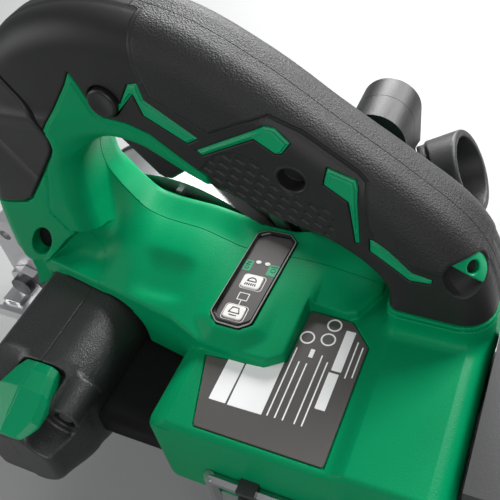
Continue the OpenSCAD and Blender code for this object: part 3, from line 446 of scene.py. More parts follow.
# %% Handle
# x, z, reach below, reach above, half width
handle_rows = [(-38, 140, 24, 22, 17.0), (-18, 160, 26, 25, 18.5), (8, 169, 27, 25, 18.5),
    (35, 166, 27, 25, 18.5), (60, 152, 27, 26, 18.5), (86, 134, 22.5, 25.5, 18.5),
    (112, 116, 13.2, 25, 18.5), (132, 99, 13, 25, 20.0), (141, 82, 18, 23.5, 22.0), (142, 62, 18, 23, 22.0)]
low_round, top_round = 5.5, 13.5      # corner radii of the grip's section


def spline(rows, each=40):
    rows = np.array(rows, np.float32)
    ext = np.vstack([2 * rows[0] - rows[1], rows, 2 * rows[-1] - rows[-2]])
    out = []
    for a, b, c, d in zip(ext[:-3], ext[1:-2], ext[2:-1], ext[3:]):
        for t in np.arange(each) / each:
            out.append(0.5 * (2 * b + (c - a) * t + (2 * a - 5 * b + 4 * c - d) * t * t
                + (3 * b - a - 3 * c + d) * t ** 3))
    return np.array(out + [rows[-1]], np.float32)


path = spline(handle_rows)
step_length = np.linalg.norm(np.gradient(path[:, :2], axis=0), axis=1, keepdims=True)
path_dir = np.gradient(path[:, :2], axis=0) / step_length
path_rate = np.gradient(path, axis=0) / step_length


def on_handle(x, h):
    """Nearest place on the handle's path: index, distance along the tangent, height above the path."""
    def closer(idx, best, near):
        d = (x - path[idx, 0]) ** 2 + (h - path[idx, 1]) ** 2
        hit = d < best
        return np.where(hit, d, best), np.where(hit, idx, near)
    best, near = np.full(x.shape, 1e9, np.float32), np.zeros(x.shape, np.int32)
    for i in range(0, len(path), 12):
        best, near = closer(np.full(x.shape, i), best, near)
    first = near
    for k in range(-6, 7):
        best, near = closer(np.clip(first + k, 0, len(path) - 1), best, near)
    t = path_dir[near]
    du, dv = x - path[near, 0], h - path[near, 1]
    return near, du * t[:, 0] + dv * t[:, 1], dv * t[:, 0] - du * t[:, 1]


def handle_field(x, y, h):
    """Only points near the handle are worked out; elsewhere a plain 30 says that it is far."""
    out = np.full(x.shape, 30.0, np.float32)
    m = (h > 35) & (x > -85) & (x < 195)
    xs, ys, hs = x[m], y[m], h[m]
    near, s, u = on_handle(xs, hs)
    below, above, half = (path[near, k] + np.clip(s, -1, 1) * path_rate[near, k] for k in (2, 3, 4))
    d = rounded(u, np.abs(ys), -below, above, -half, half,
        low_round + (top_round - low_round) * smooth(u, -14, 8))
    out[m] = np.maximum(d, np.abs(s) - 2.0)
    return out


print("handle path of", len(path), "points")

# %% [markdown]
# ## The green housing
# Two nylon shells, split down the middle, hold the motor bracket, the gear case and the electronics. Seen
# from above the housing is a slab with a crisp shoulder; its top swells up to a crest that runs from the
# front post to the foot of the handle. The rear block carries the nameplate and the battery. Below the
# post's side an arched cove is scooped out, and a shallow dish lies beside the crest. All this is drawn as
# on a moulding drawing: tables of sections, and outlines seen from above or from the side.

# %% Housing tables
blade_face = 17.5     # y of the flat side toward the blade
# x, y of the shoulder seen from above
shoulder = [(-67, -20), (-60, -28.5), (-31, -32.2), (4.6, -38.9), (35, -44.5), (51.8, -51.4), (68, -52),
    (84.4, -51.8), (90, -47.5), (91, -23), (93.5, -20.8), (105, -20.4), (111, -17.5), (117.5, -3),
    (117.5, blade_face), (-58, blade_face), (-67, 10)]
# x, y and height of the shoulder
edge_rows = [(-80, -18, 70), (-60, -28.5, 70), (-31, -32.2, 70), (4.6, -38.9, 70), (35, -44.5, 70),
    (51.8, -51.4, 70), (84, -51.8, 70), (90, -46, 70), (93, -21, 69.5), (105, -20.5, 69.4), (112, -18, 69),
    (118, -14, 68.5)]
# x, height at the parting line, height at the far edge
crest = [(-60, 84, 84), (-30, 100, 99), (-12, 104, 100), (-8, 102, 98), (-4.6, 98, 95), (3, 88, 88),
    (10.8, 83.9, 85.5), (23, 81.9, 84), (33, 80.7, 83.2), (42, 77.5, 81.4), (50, 75, 79.6), (64, 74.4, 78),
    (74, 74.3, 77.4), (84, 74.3, 77), (92, 73.8, 76), (100, 72.6, 74.4), (108, 71.2, 72.8), (118, 69.4, 71)]
# z, x0, x1, y0, y1 of the front post
post_rows = [(30, -62, -12, -18, 15), (45, -66, 0, -24, 16), (60, -67, 2, -26, 17),
    (72, -66.5, -2, -26.5, 17), (84, -65.5, -7, -26.3, 17), (98, -64, -9.5, -25.5, 17),
    (110, -62, -10.5, -24, 17), (126, -59, -9, -21, 17), (143, -53, 4, -18, 16)]
rear_block = (42.0, 165.5, -88.4, blade_face, 8.0)    # x0, x1, y0, y1, corner radius
# x and height of the rear deck, and of the arch over the cove; height and x of the crease down the post
deck_rows = [(40, 52), (44, 56), (50, 62.5), (54, 65), (60, 65), (118, 65), (121, 65.4), (128, 69),
    (140, 69.3), (157, 69), (160, 67.6), (166, 61), (180, 52)]
arch_rows = [(-75, 67), (-62.5, 65), (-57, 60.5), (-53.5, 60.6), (-46, 64.5), (-40, 69.4), (-35.5, 73.2),
    (-27, 82), (-19, 88.4), (-13, 90.2), (-3, 86.5), (2, 85.9), (12, 84)]
crease_rows = [(78, 3.0), (88.7, -1.8), (102, -4.6), (116, -8.1), (126, -11), (140, -14)]
# x, z outlines: front cover, recess under the nose, star-shaped face of the post, reach of the rubber
cover_outline = [(-95, 99.5), (-62, 99.5), (-51.7, 100.4), (-42, 102.6), (-37, 106), (-29, 116.5),
    (-17.7, 131.6), (-16, 135), (-15.9, 138.8), (-19.4, 147.8), (-27, 160), (-60, 214), (-95, 214)]
chin = [(-80, 20), (-80, 67), (-61, 67), (-57.4, 42.8), (-49.5, 47.2), (-41.8, 55.6), (-40, 62), (-39, 20)]
star = [(-30, 100), (-18.4, 142), (1, 166), (5, 172), (7, 167), (11, 155), (14, 153), (24, 152),
    (33, 148.6), (42, 141), (54, 131.6), (56, 120), (56, 60), (0, 60)]
grip_reach = [(-15.5, 139.4), (-19, 148.3), (-26.6, 160.3), (-59.6, 214.6), (190, 215), (190, 81),
    (106, 81), (80, 80), (40, 110), (0, 128)]
# x, y outlines of the recesses for the control panel and the nameplate
panel_edge = [(54.9, 9.8), (59.8, 12.6), (70.8, 12.6), (74.8, 8.8), (73.2, -39.6), (68.6, -43.2),
    (58.6, -43.2), (53.6, -38.8)]
plate_edge = [(56.6, -53.6), (66, -85.5), (119.8, -85.5), (120, -30.3), (110, -19.4), (90.4, -18.8),
    (90, -46.6), (83, -52.2)]
foot_top = 81.0       # the rubber ends here above the rear deck
panel_pad = 74.2      # height of the flat pad round the control panel
dish_depth = 3.0
cover_wall, rubber_wall, can_wall = 2.6, 2.4, 3.2
shell_gap, rubber_gap = 0.2, 0.15     # each half stops this far from the middle
# x, z of the screws: front corner, grip, and the two on the blade side
front_screw, grip_screw, right_screws = (-43.3, 76.6), (89, 138), ((57, 24), (152, 59))
screw_head = 4.6      # radius of the holes over the screw heads
# the finger scoop at the rear of the grip runs between these points
scoop_from, scoop_to = np.array((153.5, -21.0, 105.0)), np.array((159.0, -11.0, 107.0))
trigger_gap = [(-6, 128), (-3, 154), (30, 157), (62, 161), (56, 122), (30, 100), (4, 118)]
# x0, x1, y0, y1, z0, z1 of the rooms: battery bay, its terminals, head lamp; and the room of the gear case
bays = [(113, 175, -80.4, -4.6, 5, 44.4), (112.5, 139, -63, -22, 40, 57.6), (-75, -58, -9, 5, 68, 78)]
case_bay = (-115, -12, -17.4, 30, -5, 62)
case_at, case_radius = (0, 19.5), 71.2
motor_lo, motor_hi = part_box("motor_housing")
motor_x, motor_z = (motor_lo.x + motor_hi.x) / 2 / MM, (motor_lo.z + motor_hi.z) / 2 / MM
motor_half = (motor_hi.x - motor_lo.x) / 2 / MM
print("motor centre", round(motor_x, 1), round(motor_z, 1), "half width", round(motor_half, 1))


# %% [markdown]
# ## Housing fields
# Body, rear block, front post and handle are four fields. They are blended into one outer skin, and every
# skin piece starts from it: the green shells lie a wall's thickness below it where the rubber covers them,
# and the rubber, the front cover and the windows are layers of it. So neighbours fit by themselves.

# %% Outer skin
def top_of_body(x, y):
    z0, z1 = along(x, crest, 1), along(x, crest, 2)
    edge, low = along(x, edge_rows, 1), along(x, edge_rows, 2)
    t = np.clip((y - edge) / -edge, 0, 1)
    mixed = smooth(x, -16, 12)
    near = low + (z0 - low) * (mixed * np.sin(t * np.pi / 2) ** 1.1 + (1 - mixed) * t ** 4)
    s = np.clip(y / 17, 0, 1)
    top = np.where(y < 0, near, z0 + (z1 - z0) * s * s * (3 - 2 * s))
    dish = dish_depth * np.exp(-(((x - 24) / 12) ** 4 + ((y + 27) / 9) ** 4))
    pad = 1 - smooth(outline(x, y, panel_edge), 0.6, 9.0)
    return (top - dish) * (1 - pad) + panel_pad * pad


def body_field(x, y, h):
    d = smax(outline(x, y, shoulder), (h - top_of_body(x, y)) * 0.94, 1.7)
    d = smax(d, y - blade_face, 6.0)
    # a slanted facet at the front corner
    d = smax(d, (y + 22) * -0.9 + (h - 58.5) * 0.42 - 60 * smooth(x, -43.5, -40.5), 0.5)
    return smax(d, 28 - h, 6)


def rear_field(x, y, h):
    d = rounded(x, y, *rear_block)
    d = smax(d, (h - along(x, deck_rows, 1)) * 0.95, 2.4)
    return smax(d, 14 - h, 3)


def post_field(x, y, h):
    x0, x1, y0, y1 = (along(h, post_rows, k) for k in range(1, 5))
    under = smooth(along(x, arch_rows, 1) - h, -0.4, 2.4) * smooth(x, -66, -52)
    d = rounded(x, y, x0, x1, y0 + 7.5 * under, y1, 9.0)
    d = smax(d, (x - along(h, crease_rows, 1)) * 0.38 - (y - y0) * 0.92, 0.6)
    return smax(smax(d, h - 146, 2), 31 - h, 4)


def outer_skin(x, y, h):
    """Body, post, rear block and handle as one, before anything is cut."""
    d = smin(body_field(x, y, h), post_field(x, y, h), 9.0)
    d = smin(d, rear_field(x, y, h), 1.0)
    return smin(d, handle_field(x, y, h), 12.0 - 6.5 * smooth(x, 60, 95))


print("crest by the panel:", round(float(top_of_body(np.float32([84]), np.float32([0]))[0]), 1), "mm high")


# %% [markdown]
# ## Rooms and holes
# A shell is mostly hollow: the motor, the battery, the gear case and the screws all need room. A room is a
# field too, and cutting is a smooth maximum with its negative, which also breaks the edge of the opening.

# %% Rooms and holes
def scoop(x, y, h):
    """Finger scoop behind the strap bridge: a capsule that tapers toward the rear."""
    way = scoop_to - scoop_from
    dx, dy, dh = x - scoop_from[0], y - scoop_from[1], h - scoop_from[2]
    t = np.clip((dx * way[0] + dy * way[1] + dh * way[2]) / (way @ way), 0, 1)
    return np.sqrt((dx - t * way[0]) ** 2 + (dy - t * way[1]) ** 2 + (dh - t * way[2]) ** 2) - 8.9 + 2.9 * t


def motor_room(x, y, h, gap):
    z, w = motor_z - LIFT, motor_half + gap
    return smax(rounded(x, h, motor_x - w, motor_x + w, z - w, z + w, 16.0), y + 5, 1)


def slab(x, y, h, x0, x1, y0, y1, z0, z1):
    return np.maximum(np.maximum(np.maximum(x0 - x, x - x1), np.maximum(y0 - y, y - y1)),
        np.maximum(z0 - h, h - z1))


def front_hole(x, h):
    """A slanted oval, as a round hole shows on a drafted face."""
    dx, dz = x - front_screw[0], h - front_screw[1]
    return 6 * (np.hypot((dx * 10.8 - dz * 4.8) / 62.2, (6.6 * dz - 1.9 * dx) / 62.2) - 1)


def cut(d, room, k=0.4):
    """Take a room out of a piece; k rounds the edge that this leaves."""
    return smax(d, -room, k)


print("front screw hole is", round(float(-front_hole(*front_screw)), 1), "mm deep inside its oval")


# %% [markdown]
# ## The two shells
# The shells part at the middle, and the narrow gap between them is the dark line that runs over the crest.
# Each half is meshed on its own, because they are two mouldings that unscrew. The star-shaped face of the
# post stands a little proud, as a raised panel does on a moulding, so that it catches its own edge light.

# %% Shell field
# the star's border lies this far below the skin, and its face this far above the border
border_sink, star_step = 0.45, 0.55


def shell_field(x, y, z):
    h = z - LIFT
    whole = outer_skin(x, y, h)
    edge = outline(x, h, star)
    # the star stands proud inside a lower border
    step = star_step * smooth(-edge, 1.3, 1.9) * smooth(h, 99, 108) * smooth(-edge, 30, 25)
    d = whole + border_sink - step - border_sink * (smooth(-edge, 24, 30) + (edge > 0))
    # ring round the foot of the handle
    d = d + 0.7 * bell(h - 78.7, 0.4) * (x > 112)
    under_grip = np.maximum(np.maximum(outline(x, h, grip_reach), -edge), foot_top - h)
    deep = cover_wall + 9 * smooth(-scoop(x, y, h), -3.5, -1.5)
    d = smax(d, np.minimum(-under_grip, whole + deep), 0.3)
    d = smax(d, np.minimum(-(outline(x, h, cover_outline) - 0.7), whole + 3.0), 0.4)
    d = cut(d, motor_room(x, y, h, 0.9), 0.8)
    d = cut(d, np.maximum(front_hole(x, h), y + 6), 0.7)
    d = cut(d, np.maximum(outline(x, h, chin), y + 7), 0.6)
    d = cut(d, np.maximum(hole(x, h, grip_screw, screw_head), y + 9))
    for at in right_screws:
        d = cut(d, np.maximum(hole(x, h, at, screw_head), 9 - y))
    d = cut(d, np.maximum(outline(x, y, panel_edge) - 0.35, 64 - h), 0.3)
    d = cut(d, np.maximum(outline(x, y, plate_edge), 64.0 - h), 0.5)
    d = cut(d, np.maximum(outline(x, h, trigger_gap), np.abs(y) - 9.6))
    for bay in bays:
        d = cut(d, slab(x, y, h, *bay))
    d = cut(d, np.maximum(hole(x, h, case_at, case_radius), 17.4 - y))
    return cut(d, slab(x, y, h, *case_bay))


def half_of(field, sign, gap):
    """One shell of the pair: the parting line is a narrow gap along the middle."""
    return lambda x, y, z: smax(field(x, y, z), gap - sign * y, 0.3)


print("rooms for", len(bays) + 1, "bays and", len(right_screws) + 2, "screws")


# %% Mesh the shells
shell_left = field_piece("shell_left", half_of(shell_field, -1, shell_gap),
    (-69, -89, 16), (168, 0.4, 189), 0.7, "green_shell", "saw", seam=(shell_field, -shell_gap))
shell_right = field_piece("shell_right", half_of(shell_field, 1, shell_gap),
    (-69, -0.4, 16), (168, 24, 189), 0.7, "green_shell", "saw", seam=(shell_field, shell_gap))
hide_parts("housing_left")
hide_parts("housing_right")

# %% [markdown]
# ## The soft grip
# A rubber skin is moulded over the shells. Its upper part has a leathery grain, a groove parts it from the
# smooth lower band, and green windows let the shell's colour through as faceted wedges. Where the fingers
# close, rows of small lozenges are sunk into it.

# %% Grip outlines
groove_line = [(33, 200), (35.5, 180), (37, 171), (38, 166), (59, 153.2), (73, 160.2), (82, 162.6),
    (92.8, 156.6), (112.6, 142.4), (115.6, 139.4), (116.7, 122), (118.8, 115), (132.8, 106.6), (147, 105.8)]
windows = [
    [(34, 171), (35, 164), (54, 150), (49, 147), (33, 157), (31, 166), (25, 160), (22, 157), (18, 158),
        (24, 161), (30, 170)],
    [(52, 144.4), (54.2, 142.4), (76.6, 154), (84, 148.9), (86.6, 149.3), (89.6, 153.4), (84.3, 158.6),
        (80.6, 159.4), (76.4, 157.4)],
    [(102.3, 144.8), (101.1, 138.4), (109.9, 131.8), (111.8, 112), (113.4, 112.2), (113, 137.4), (112, 140.2)],
    [(117.3, 115.3), (117.4, 109.2), (132.8, 98.8), (140.8, 99.8), (141, 101.9), (133.2, 103), (121.6, 113.8)]]
lock_at = (17, 161)
finger_patch = [(56, 141), (61, 145.5), (68, 147), (76, 145), (82, 136), (92, 130), (102, 127), (105, 122),
    (104, 112), (98, 104), (78, 110), (60, 122), (50, 134)]


print(len(windows), "windows; the groove has", len(groove_line), "corners")


# %% Grip pattern
def windows_field(x, h):
    return np.minimum.reduce([outline(x, h, w) for w in windows])


def upper_zone(x, h):
    """Positive above the groove."""
    return -outline(x, h, groove_line + [(190, 100), (190, 215), (33, 215)])


def lozenges(x, h):
    """Depth of the sunk pattern: a skewed lattice of slim parallelograms."""
    dx, dz = x - 62.2, h - 139.2
    (ax, az), (bx, bz) = (5.4, -0.75), (-1.9, -4.0)     # one step along a row, and to the next row
    det = ax * bz - az * bx
    i, j = (dx * bz - dz * bx) / det, (ax * dz - az * dx) / det
    fi, fj = i - np.round(i), j - np.round(j)
    px, pz = fi * ax + fj * bx, fi * az + fj * bz
    a, b = px * 0.80 - pz * 0.60, px * 0.60 + pz * 0.80
    half_length, half_width, depth = 2.35, 0.95, 0.55
    shape = np.maximum(np.abs(a) / half_length, np.abs(b) / half_width) - 1
    return depth * smooth(-shape, 0.0, 0.6)


print("lozenges", round(float(lozenges(62.2, 139.2)), 2), "mm deep")


# %% Grip field
def grip_field(x, y, z):
    h = z - LIFT
    whole = outer_skin(x, y, h)
    edge = outline(x, h, star)
    zone = np.maximum(np.maximum(outline(x, h, grip_reach), -edge), foot_top + 0.2 - h) + 0.2
    upper, side = upper_zone(x, h), smooth(np.abs(y), 3, 6)
    d = whole + 0.5 * smooth(-upper, 0.2, 1.0) * side
    d = d + 0.7 * bell(trail(x, h, groove_line[2:-1]), 0.55) * side
    patch = smooth(-outline(x, h, finger_patch), 0, 1.2) * smooth(-hole(x, h, grip_screw, 6.4), 0.4, -0.6)
    d = d + (0.5 * patch + lozenges(x, h) * (patch > 0.9)) * smooth(np.abs(y), 7, 9)
    d = smax(d, zone, 0.9)
    rim = hole(x, h, grip_screw, 6.0)
    d = d - 0.35 * bell(rim, 0.5) * (y < 0)
    d = cut(d, smax(windows_field(x, h) - 0.2, 12 - np.abs(y), 0.3), 0.5)
    d = cut(d, hole(x, h, lock_at, 6.9), 0.7)
    d = cut(d, np.maximum(hole(x, h, grip_screw, 5.2), y + 12), 0.6)
    dip = scoop(x, y, h)
    d = cut(d, dip, 0.5)
    core = whole + rubber_wall + 9 * smooth(-dip, -3.7, -1.7)
    return smax(d, -core, 0.3)


def grain_of(x, y, z):
    """The grain covers the upper part and the middle strip, and stops short of the scoop and the foot."""
    h = z - LIFT
    covered = np.maximum(smooth(upper_zone(x, h), 0.5, 1.6), (np.abs(y) < 4) * 1.0)
    return covered * smooth(h, 101, 105) * smooth(scoop(x, y, h), 0.3, 1.2) * (x > 30)


print("rubber wall", rubber_wall, "mm")

# %% Mesh the grip
grip_left = field_piece("grip_skin_left", half_of(grip_field, -1, rubber_gap),
    (-42, -24, 83), (168, 0.4, 200), 0.5, "grip_rubber", "saw", grain_of, (grip_field, -rubber_gap))
grip_right = field_piece("grip_skin_right", half_of(grip_field, 1, rubber_gap),
    (-42, -0.4, 83), (168, 24, 200), 0.5, "grip_rubber", "saw", grain_of, (grip_field, rubber_gap))
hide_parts("grip_left")
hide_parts("grip_right")


# %% [markdown]
# ## Green windows
# The windows are the same nylon as the shells, showing through openings in the rubber. They stand a little
# below its skin and have a bevelled rim. Made as a layer of the outer skin, they bend with the handle. A
# near-black plug set in the front screw's hole stands in for the shade inside it: painted shade.

# %% Green windows in the grip
def window_field(x, y, z):
    h = z - LIFT
    win = windows_field(x, h)
    d = outer_skin(x, y, h) + 0.75 - 0.6 * smooth(-win, 0.7, 1.2) + 0.25 * smooth(-win, 1.2, 2.6)
    d = smax(smax(d, win, 0.5), -(outer_skin(x, y, h) + cover_wall), 0.3)
    return np.maximum(d, 9.8 - np.abs(y))


for side, y0, y1 in (("left", -21.0, -8.0), ("right", 8.0, 21.0)):
    piece = field_piece("window_" + side, window_field,
        (15, y0, 97), (143, y1, 178), 0.4, "green_smooth", "saw")
    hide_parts("inlays_" + side)


# a near-black plug close to the mouth of the front screw's hole: painted shade standing in for the shade deep
# in the hole
def hole_shade_field(x, y, z):
    return smax(front_hole(x, z - LIFT) + 0.15, np.maximum(-20.5 - y, y + 8), 0.5)


field_piece("screw_hole_shade", hole_shade_field, (-54, -22, 60), (-32, -6, 95), 0.6, "shadow_black", "saw")


# %% [markdown]
# ## Strap bridge
# A small green bridge closes the corner of the scoop, with a round eye for a wrist strap. It is the skin
# again, inside the scoop and cut by a slanting plane, and the eye is a slanting cylinder.

# %% Strap bridge in the scoop
def bridge_field(x, y, z):
    h = z - LIFT
    skin_depth = outer_skin(x, y, h)
    d = smax(skin_depth + 0.9, -5.0 - skin_depth, 0.4)
    d = smax(d, scoop(x, y, h) - 0.8, 0.3)
    d = smax(d, -0.372 * (x - 147.9) - 0.649 * (y + 17.9) - 0.665 * (z - 112.5), 0.6)
    dx, dy, dz = x - 154.6, y + 13.8, z - 110.0
    axis = dx * 0.5 - dy * 0.69 + dz * 0.52
    off = (dx - axis * 0.5) ** 2 + (dy + axis * 0.69) ** 2 + (dz - axis * 0.52) ** 2
    return cut(d, np.sqrt(off) - 2.6, 0.9)


bridge = field_piece("strap_bridge", bridge_field,
    (143, -23, 98), (166, -3, 120), 0.35, "green_smooth", "saw")
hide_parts("strap_eye")


# %% [markdown]
# ## Front cover
# A black cap is clipped over the nose of the handle. It stands a fifth of a millimetre proud of the skin, and
# its rim is rounded, so the joint with the green shell reads as a soft dark line.

# %% Front cover
def cover_field(x, y, z):
    h = z - LIFT
    whole = outer_skin(x, y, h)
    rim = outline(x, h, cover_outline)
    d = smax(whole - 0.2, rim + 0.3, 1.3)
    return smax(d, -(whole + cover_wall), 0.3)


cover = field_piece("front_cap", cover_field, (-72, -24, 92), (-17, 24, 182), 0.5, "cover_black", "saw")
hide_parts("front_cover")


# %% [markdown]
# ## Trigger and lock button
# Both ride on bodies of their own, so they are pieces of their own. The trigger is an outline with rounded
# flanks; the lock is a pin through the handle whose ends are dished for the thumb.

# %% Trigger and lock button
trigger_edge = [(4, 138), (9, 136.6), (23.6, 118.4), (26.5, 116.8), (30, 117), (39.5, 124), (50, 137),
    (50, 152), (6, 152)]


def trigger_field(x, y, z):
    h = z - LIFT
    return smax(outline(x, h, trigger_edge), np.abs(y) - 9.0, 3.2)


trigger = field_piece("trigger_paddle", trigger_field,
    (0, -10, 115), (52, 10, 156), 0.55, "satin_black", "trigger")
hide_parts("trigger")


def lock_field(x, y, z):
    r = np.hypot(x - lock_at[0], z - LIFT - lock_at[1])
    end = np.abs(y) - 20.4 + 0.9 * bell(r, 4.5)
    return smax(r - 6.3, end, 1.6)


lock = field_piece("lock_pin", lock_field, (10, -21.5, 156), (24, 21.5, 172), 0.4, "satin_black", "lock")
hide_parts("lock_bar")


# %% [markdown]
# ## Motor
# The motor can is a separate moulding with a coarse spark texture. A centre seam runs along its top, and
# the tail steps in beside a green bumper, with a screw sunk in each shoulder.

# %% Motor field
draft = (5.0, 1.2)     # how much the tail and the middle step in
tail_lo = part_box("motor_tail")[0]
bump_lo, bump_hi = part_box("tail_bumper")
tail_y, bump_half = tail_lo.y / MM, (bump_hi.x - bump_lo.x) / 2 / MM


def motor_field(x, y, z):
    shrink = draft[0] * smooth(y, -88, -112) + draft[1] * smooth(y, -80, -88)
    half = motor_half - shrink
    u, v = x - motor_x, z - motor_z
    d = rounded(u, v, -half, half - 2.5, -half, half, 5.0 + 13.0 * smooth(u, -8, 8))
    d = smax(smax(d, tail_y - y, 4.0), y + 8, 0.5)
    # the upper half of the can laps over the lower one
    d = d + 0.6 * bell(v - half + 5.0, 0.45) * (u < 0) + 0.3 * smooth(half - 5.4 - v, 0, 0.5) * (u < 0)
    # shoulders scooped beside the bumper
    bay = np.sqrt((np.abs(u) - 15.5) ** 2 + (v - motor_half - 5.0) ** 2) - 9.0
    d = smax(d, -smax(bay, y + 76, 6.0), 2.5)
    # screw bosses stand at the corners
    post = np.hypot(np.abs(u) - (motor_half - 7.5), v - (motor_half - 10))
    d = smin(d, smax(post - 6.6, np.maximum(y + 78, -96.5 - y), 1.5), 3.0)
    d = smax(d, -smax(post - 9.5, y + 96.5, 1.5), 1.5)
    d = smax(d, -np.maximum(post - 4.8, y + 91), 0.6)
    # a wing along the front of the lower half
    wing = smax(rounded(u, v, -half - 9.0, 0, -8.0, half - 8.5, 9.0), np.maximum(y + 34, -104 - y), 3.0)
    d = smin(d, wing, 0.5)
    pocket = rounded(u, y, -bump_half - 0.5, bump_half + 0.5, -140.0, bump_hi.y / MM + 0.6, 3.0)
    d = smax(d, -np.maximum(pocket, motor_half - 7.2 - v), 0.8)
    d = d + 0.35 * bell(u + 0.3, 0.3) * (v > 0)
    # hollow inside, with air slots by the fan
    d = smax(d, -smax(d + can_wall, y + 6, 1), 0.3)
    slot = np.maximum(np.abs((y + 33) / 4 - np.round((y + 33) / 4)) * 4 - 1, np.abs(y + 25) - 9.4)
    vents = np.minimum(np.maximum(u, np.abs(v) - 9), np.maximum(v, np.abs(u) - 9))
    return cut(d, np.maximum(slot, vents), 0.4)


motor = field_piece("motor_can", motor_field,
    (motor_x - motor_half - 11, tail_y - 1, motor_z - motor_half - 1),
    (motor_x + motor_half + 1, -6, motor_z + motor_half + 1), 0.6, "spark_black", "saw")
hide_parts("motor_housing", "motor_tail")


# %% Painted shade block and bumper
# a near-black block filling the gap between the motor and the rear block, where the tool's lower parts lie in
# deep shade: painted shade
def gap_shade_field(x, y, z):
    d = rounded(x, z, 8.0, 47.0, 27.0, 44.0, 5.0)
    return smax(d, np.maximum(-84 - y, y + 6), 4.0)


field_piece("gap_shade_block", gap_shade_field, (7, -85, 26), (48, -5, 45), 1.2, "shadow_black", "saw")


def bumper_field(x, y, z):
    u, v = x - motor_x, z - motor_z - motor_half
    half = np.minimum(9.0 + 0.3 * (-79 - y), 14.0) - 0.5 * np.maximum(-104 - y, 0)
    roof = 2.4 - 0.12 * np.abs(u) - 0.9 * np.maximum(np.abs(u) - half + 2.6, 0)
    fold = 0.36 * np.maximum(-93 - y, 0) + 0.3 * np.maximum(y + 84, 0)
    d = smax(np.abs(u) - half, (v - roof + fold) * 0.93, 0.5)
    d = smax(d, np.maximum(-111.5 - y, y + 79.3), 0.8)
    d = d + 0.25 * bell(u, 0.25) * (v > -2)
    return smax(d, -7.0 - v, 0.5)


bumper = field_piece("bumper_block", bumper_field, (motor_x - 14.5, -113, motor_z + motor_half - 8),
    (motor_x + 14.5, -78, motor_z + motor_half + 4), 0.4, "green_smooth", "saw")
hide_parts("tail_bumper")


# %% [markdown]
# ## Hose nozzle
# The swivelling nozzle takes a vacuum hose. It is turned about the joint's own axis: a collar, a step out to
# the barrel and a slightly flared mouth, cut at a slant so that the hose clears the handle.

# %% Nozzle
swivel = next(j for j in frame["record"]["behaviour"]["joints"] if j["name"] == "nozzle_turn")
socket = next(m for m in frame["record"]["mounts"] if m["name"] == "hose_socket")
turn_at, turn_dir = np.array(swivel["pos_m"]) / MM, np.array(swivel["axis"])
mouth_at = float((np.array(socket["pos_m"]) / MM - turn_at) @ turn_dir)
mouth_way = turn_dir + 0.36 * np.array((0.05, -0.76, 0.65))
mouth_way /= np.linalg.norm(mouth_way)
bore = socket["dims"]["r_mm"]
start_of_nozzle = min((Vector(v.co) / MM - Vector(turn_at)).dot(Vector(turn_dir))
    for v in nodes["dust_nozzle"].data.vertices)
# distance along the axis, radius
nozzle_profile = [(-20, bore + 1.0), (3.2, bore + 1.0), (4.4, bore + 2.2), (mouth_at + 8, bore + 3.6),
    (mouth_at + 30, bore + 4.4)]


def nozzle_field(x, y, z):
    dx, dy, dz = x - turn_at[0], y - turn_at[1], z - turn_at[2]
    t = dx * turn_dir[0] + dy * turn_dir[1] + dz * turn_dir[2]
    r = np.sqrt(np.maximum(dx * dx + dy * dy + dz * dz - t * t, 0))
    outer = r - np.interp(t, *zip(*nozzle_profile))
    inner = r - np.interp(t, (-20, mouth_at - 9, mouth_at - 7), (bore - 4.5, bore - 4.5, bore))
    mouth = dx * mouth_way[0] + dy * mouth_way[1] + dz * mouth_way[2] - mouth_at - 2.0
    d = smax(smax(outer, mouth, 1.4), start_of_nozzle - t, 0.8)
    return smax(d, -inner, 0.7)


nozzle = field_piece("hose_nozzle", nozzle_field, (100, 15, 65), (165, 85, 130), 0.6, "cover_black", "nozzle")
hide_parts("dust_nozzle")
print("nozzle starts", round(start_of_nozzle, 1), "mouth", round(mouth_at, 1))


# %% [markdown]
# ## Crisp small pieces
# The control panel, its keys and the nameplate have straight edges, so they are lofted from outlines: a
# list of loops, each at its own height, joined by quads. Printing is a film a tenth of a millimetre thick.

# %% Outline tools
def inset(pts, d):
    """Move every side of an outline inward by d."""
    n, out = len(pts), []
    area = sum(pts[i][0] * pts[(i + 1) % n][1] - pts[(i + 1) % n][0] * pts[i][1] for i in range(n))
    s = 1 if area > 0 else -1
    for i in range(n):
        a, b, c = (Vector(pts[(i + k - 1) % n]) for k in range(3))
        e, f = (b - a).normalized(), (c - b).normalized()
        n1, n2 = Vector((-e.y, e.x)) * s, Vector((-f.y, f.x)) * s
        m = n1 + n2
        out.append(tuple(b + m * (d * 2 / m.length_squared)))
    return out


def soften(pts, r, parts=4):
    """Round the corners of an outline."""
    out, n = [], len(pts)
    for i in range(n):
        a, b, c = (Vector(pts[(i + k - 1) % n]) for k in range(3))
        reach = min(r, (a - b).length * 0.45, (c - b).length * 0.45)
        p, q = b + (a - b).normalized() * reach, b + (c - b).normalized() * reach
        for k in range(parts + 1):
            t = k / parts
            out.append(tuple(p * (1 - t) ** 2 + b * 2 * t * (1 - t) + q * t * t))
    return out


def box_outline(x0, x1, y0, y1, r=0.0):
    pts = [(x0, y0), (x1, y0), (x1, y1), (x0, y1)]
    return soften(pts, r) if r else pts


def circle(cx, cy, r, n=32):
    return [(cx + r * math.cos(math.tau * k / n), cy + r * math.sin(math.tau * k / n)) for k in range(n)]


print("a circle of radius 2 as", len(circle(0, 0, 2)), "corners")


# %% Lofts and films
def loft(bm, loops, ring=False):
    """Join loops of (outline, height); the ends are closed, or joined to each other for a ring."""
    rows = [[bm.verts.new((px * MM, py * MM, z * MM)) for px, py in pts] for pts, z in loops]
    pairs = list(zip(rows, rows[1:])) + ([(rows[-1], rows[0])] if ring else [])
    for a, b in pairs:
        for i in range(len(a)):
            j = (i + 1) % len(a)
            bm.faces.new((a[i], a[j], b[j], b[i]))
    if not ring:
        bm.faces.new(rows[0][::-1])
        bm.faces.new(rows[-1])


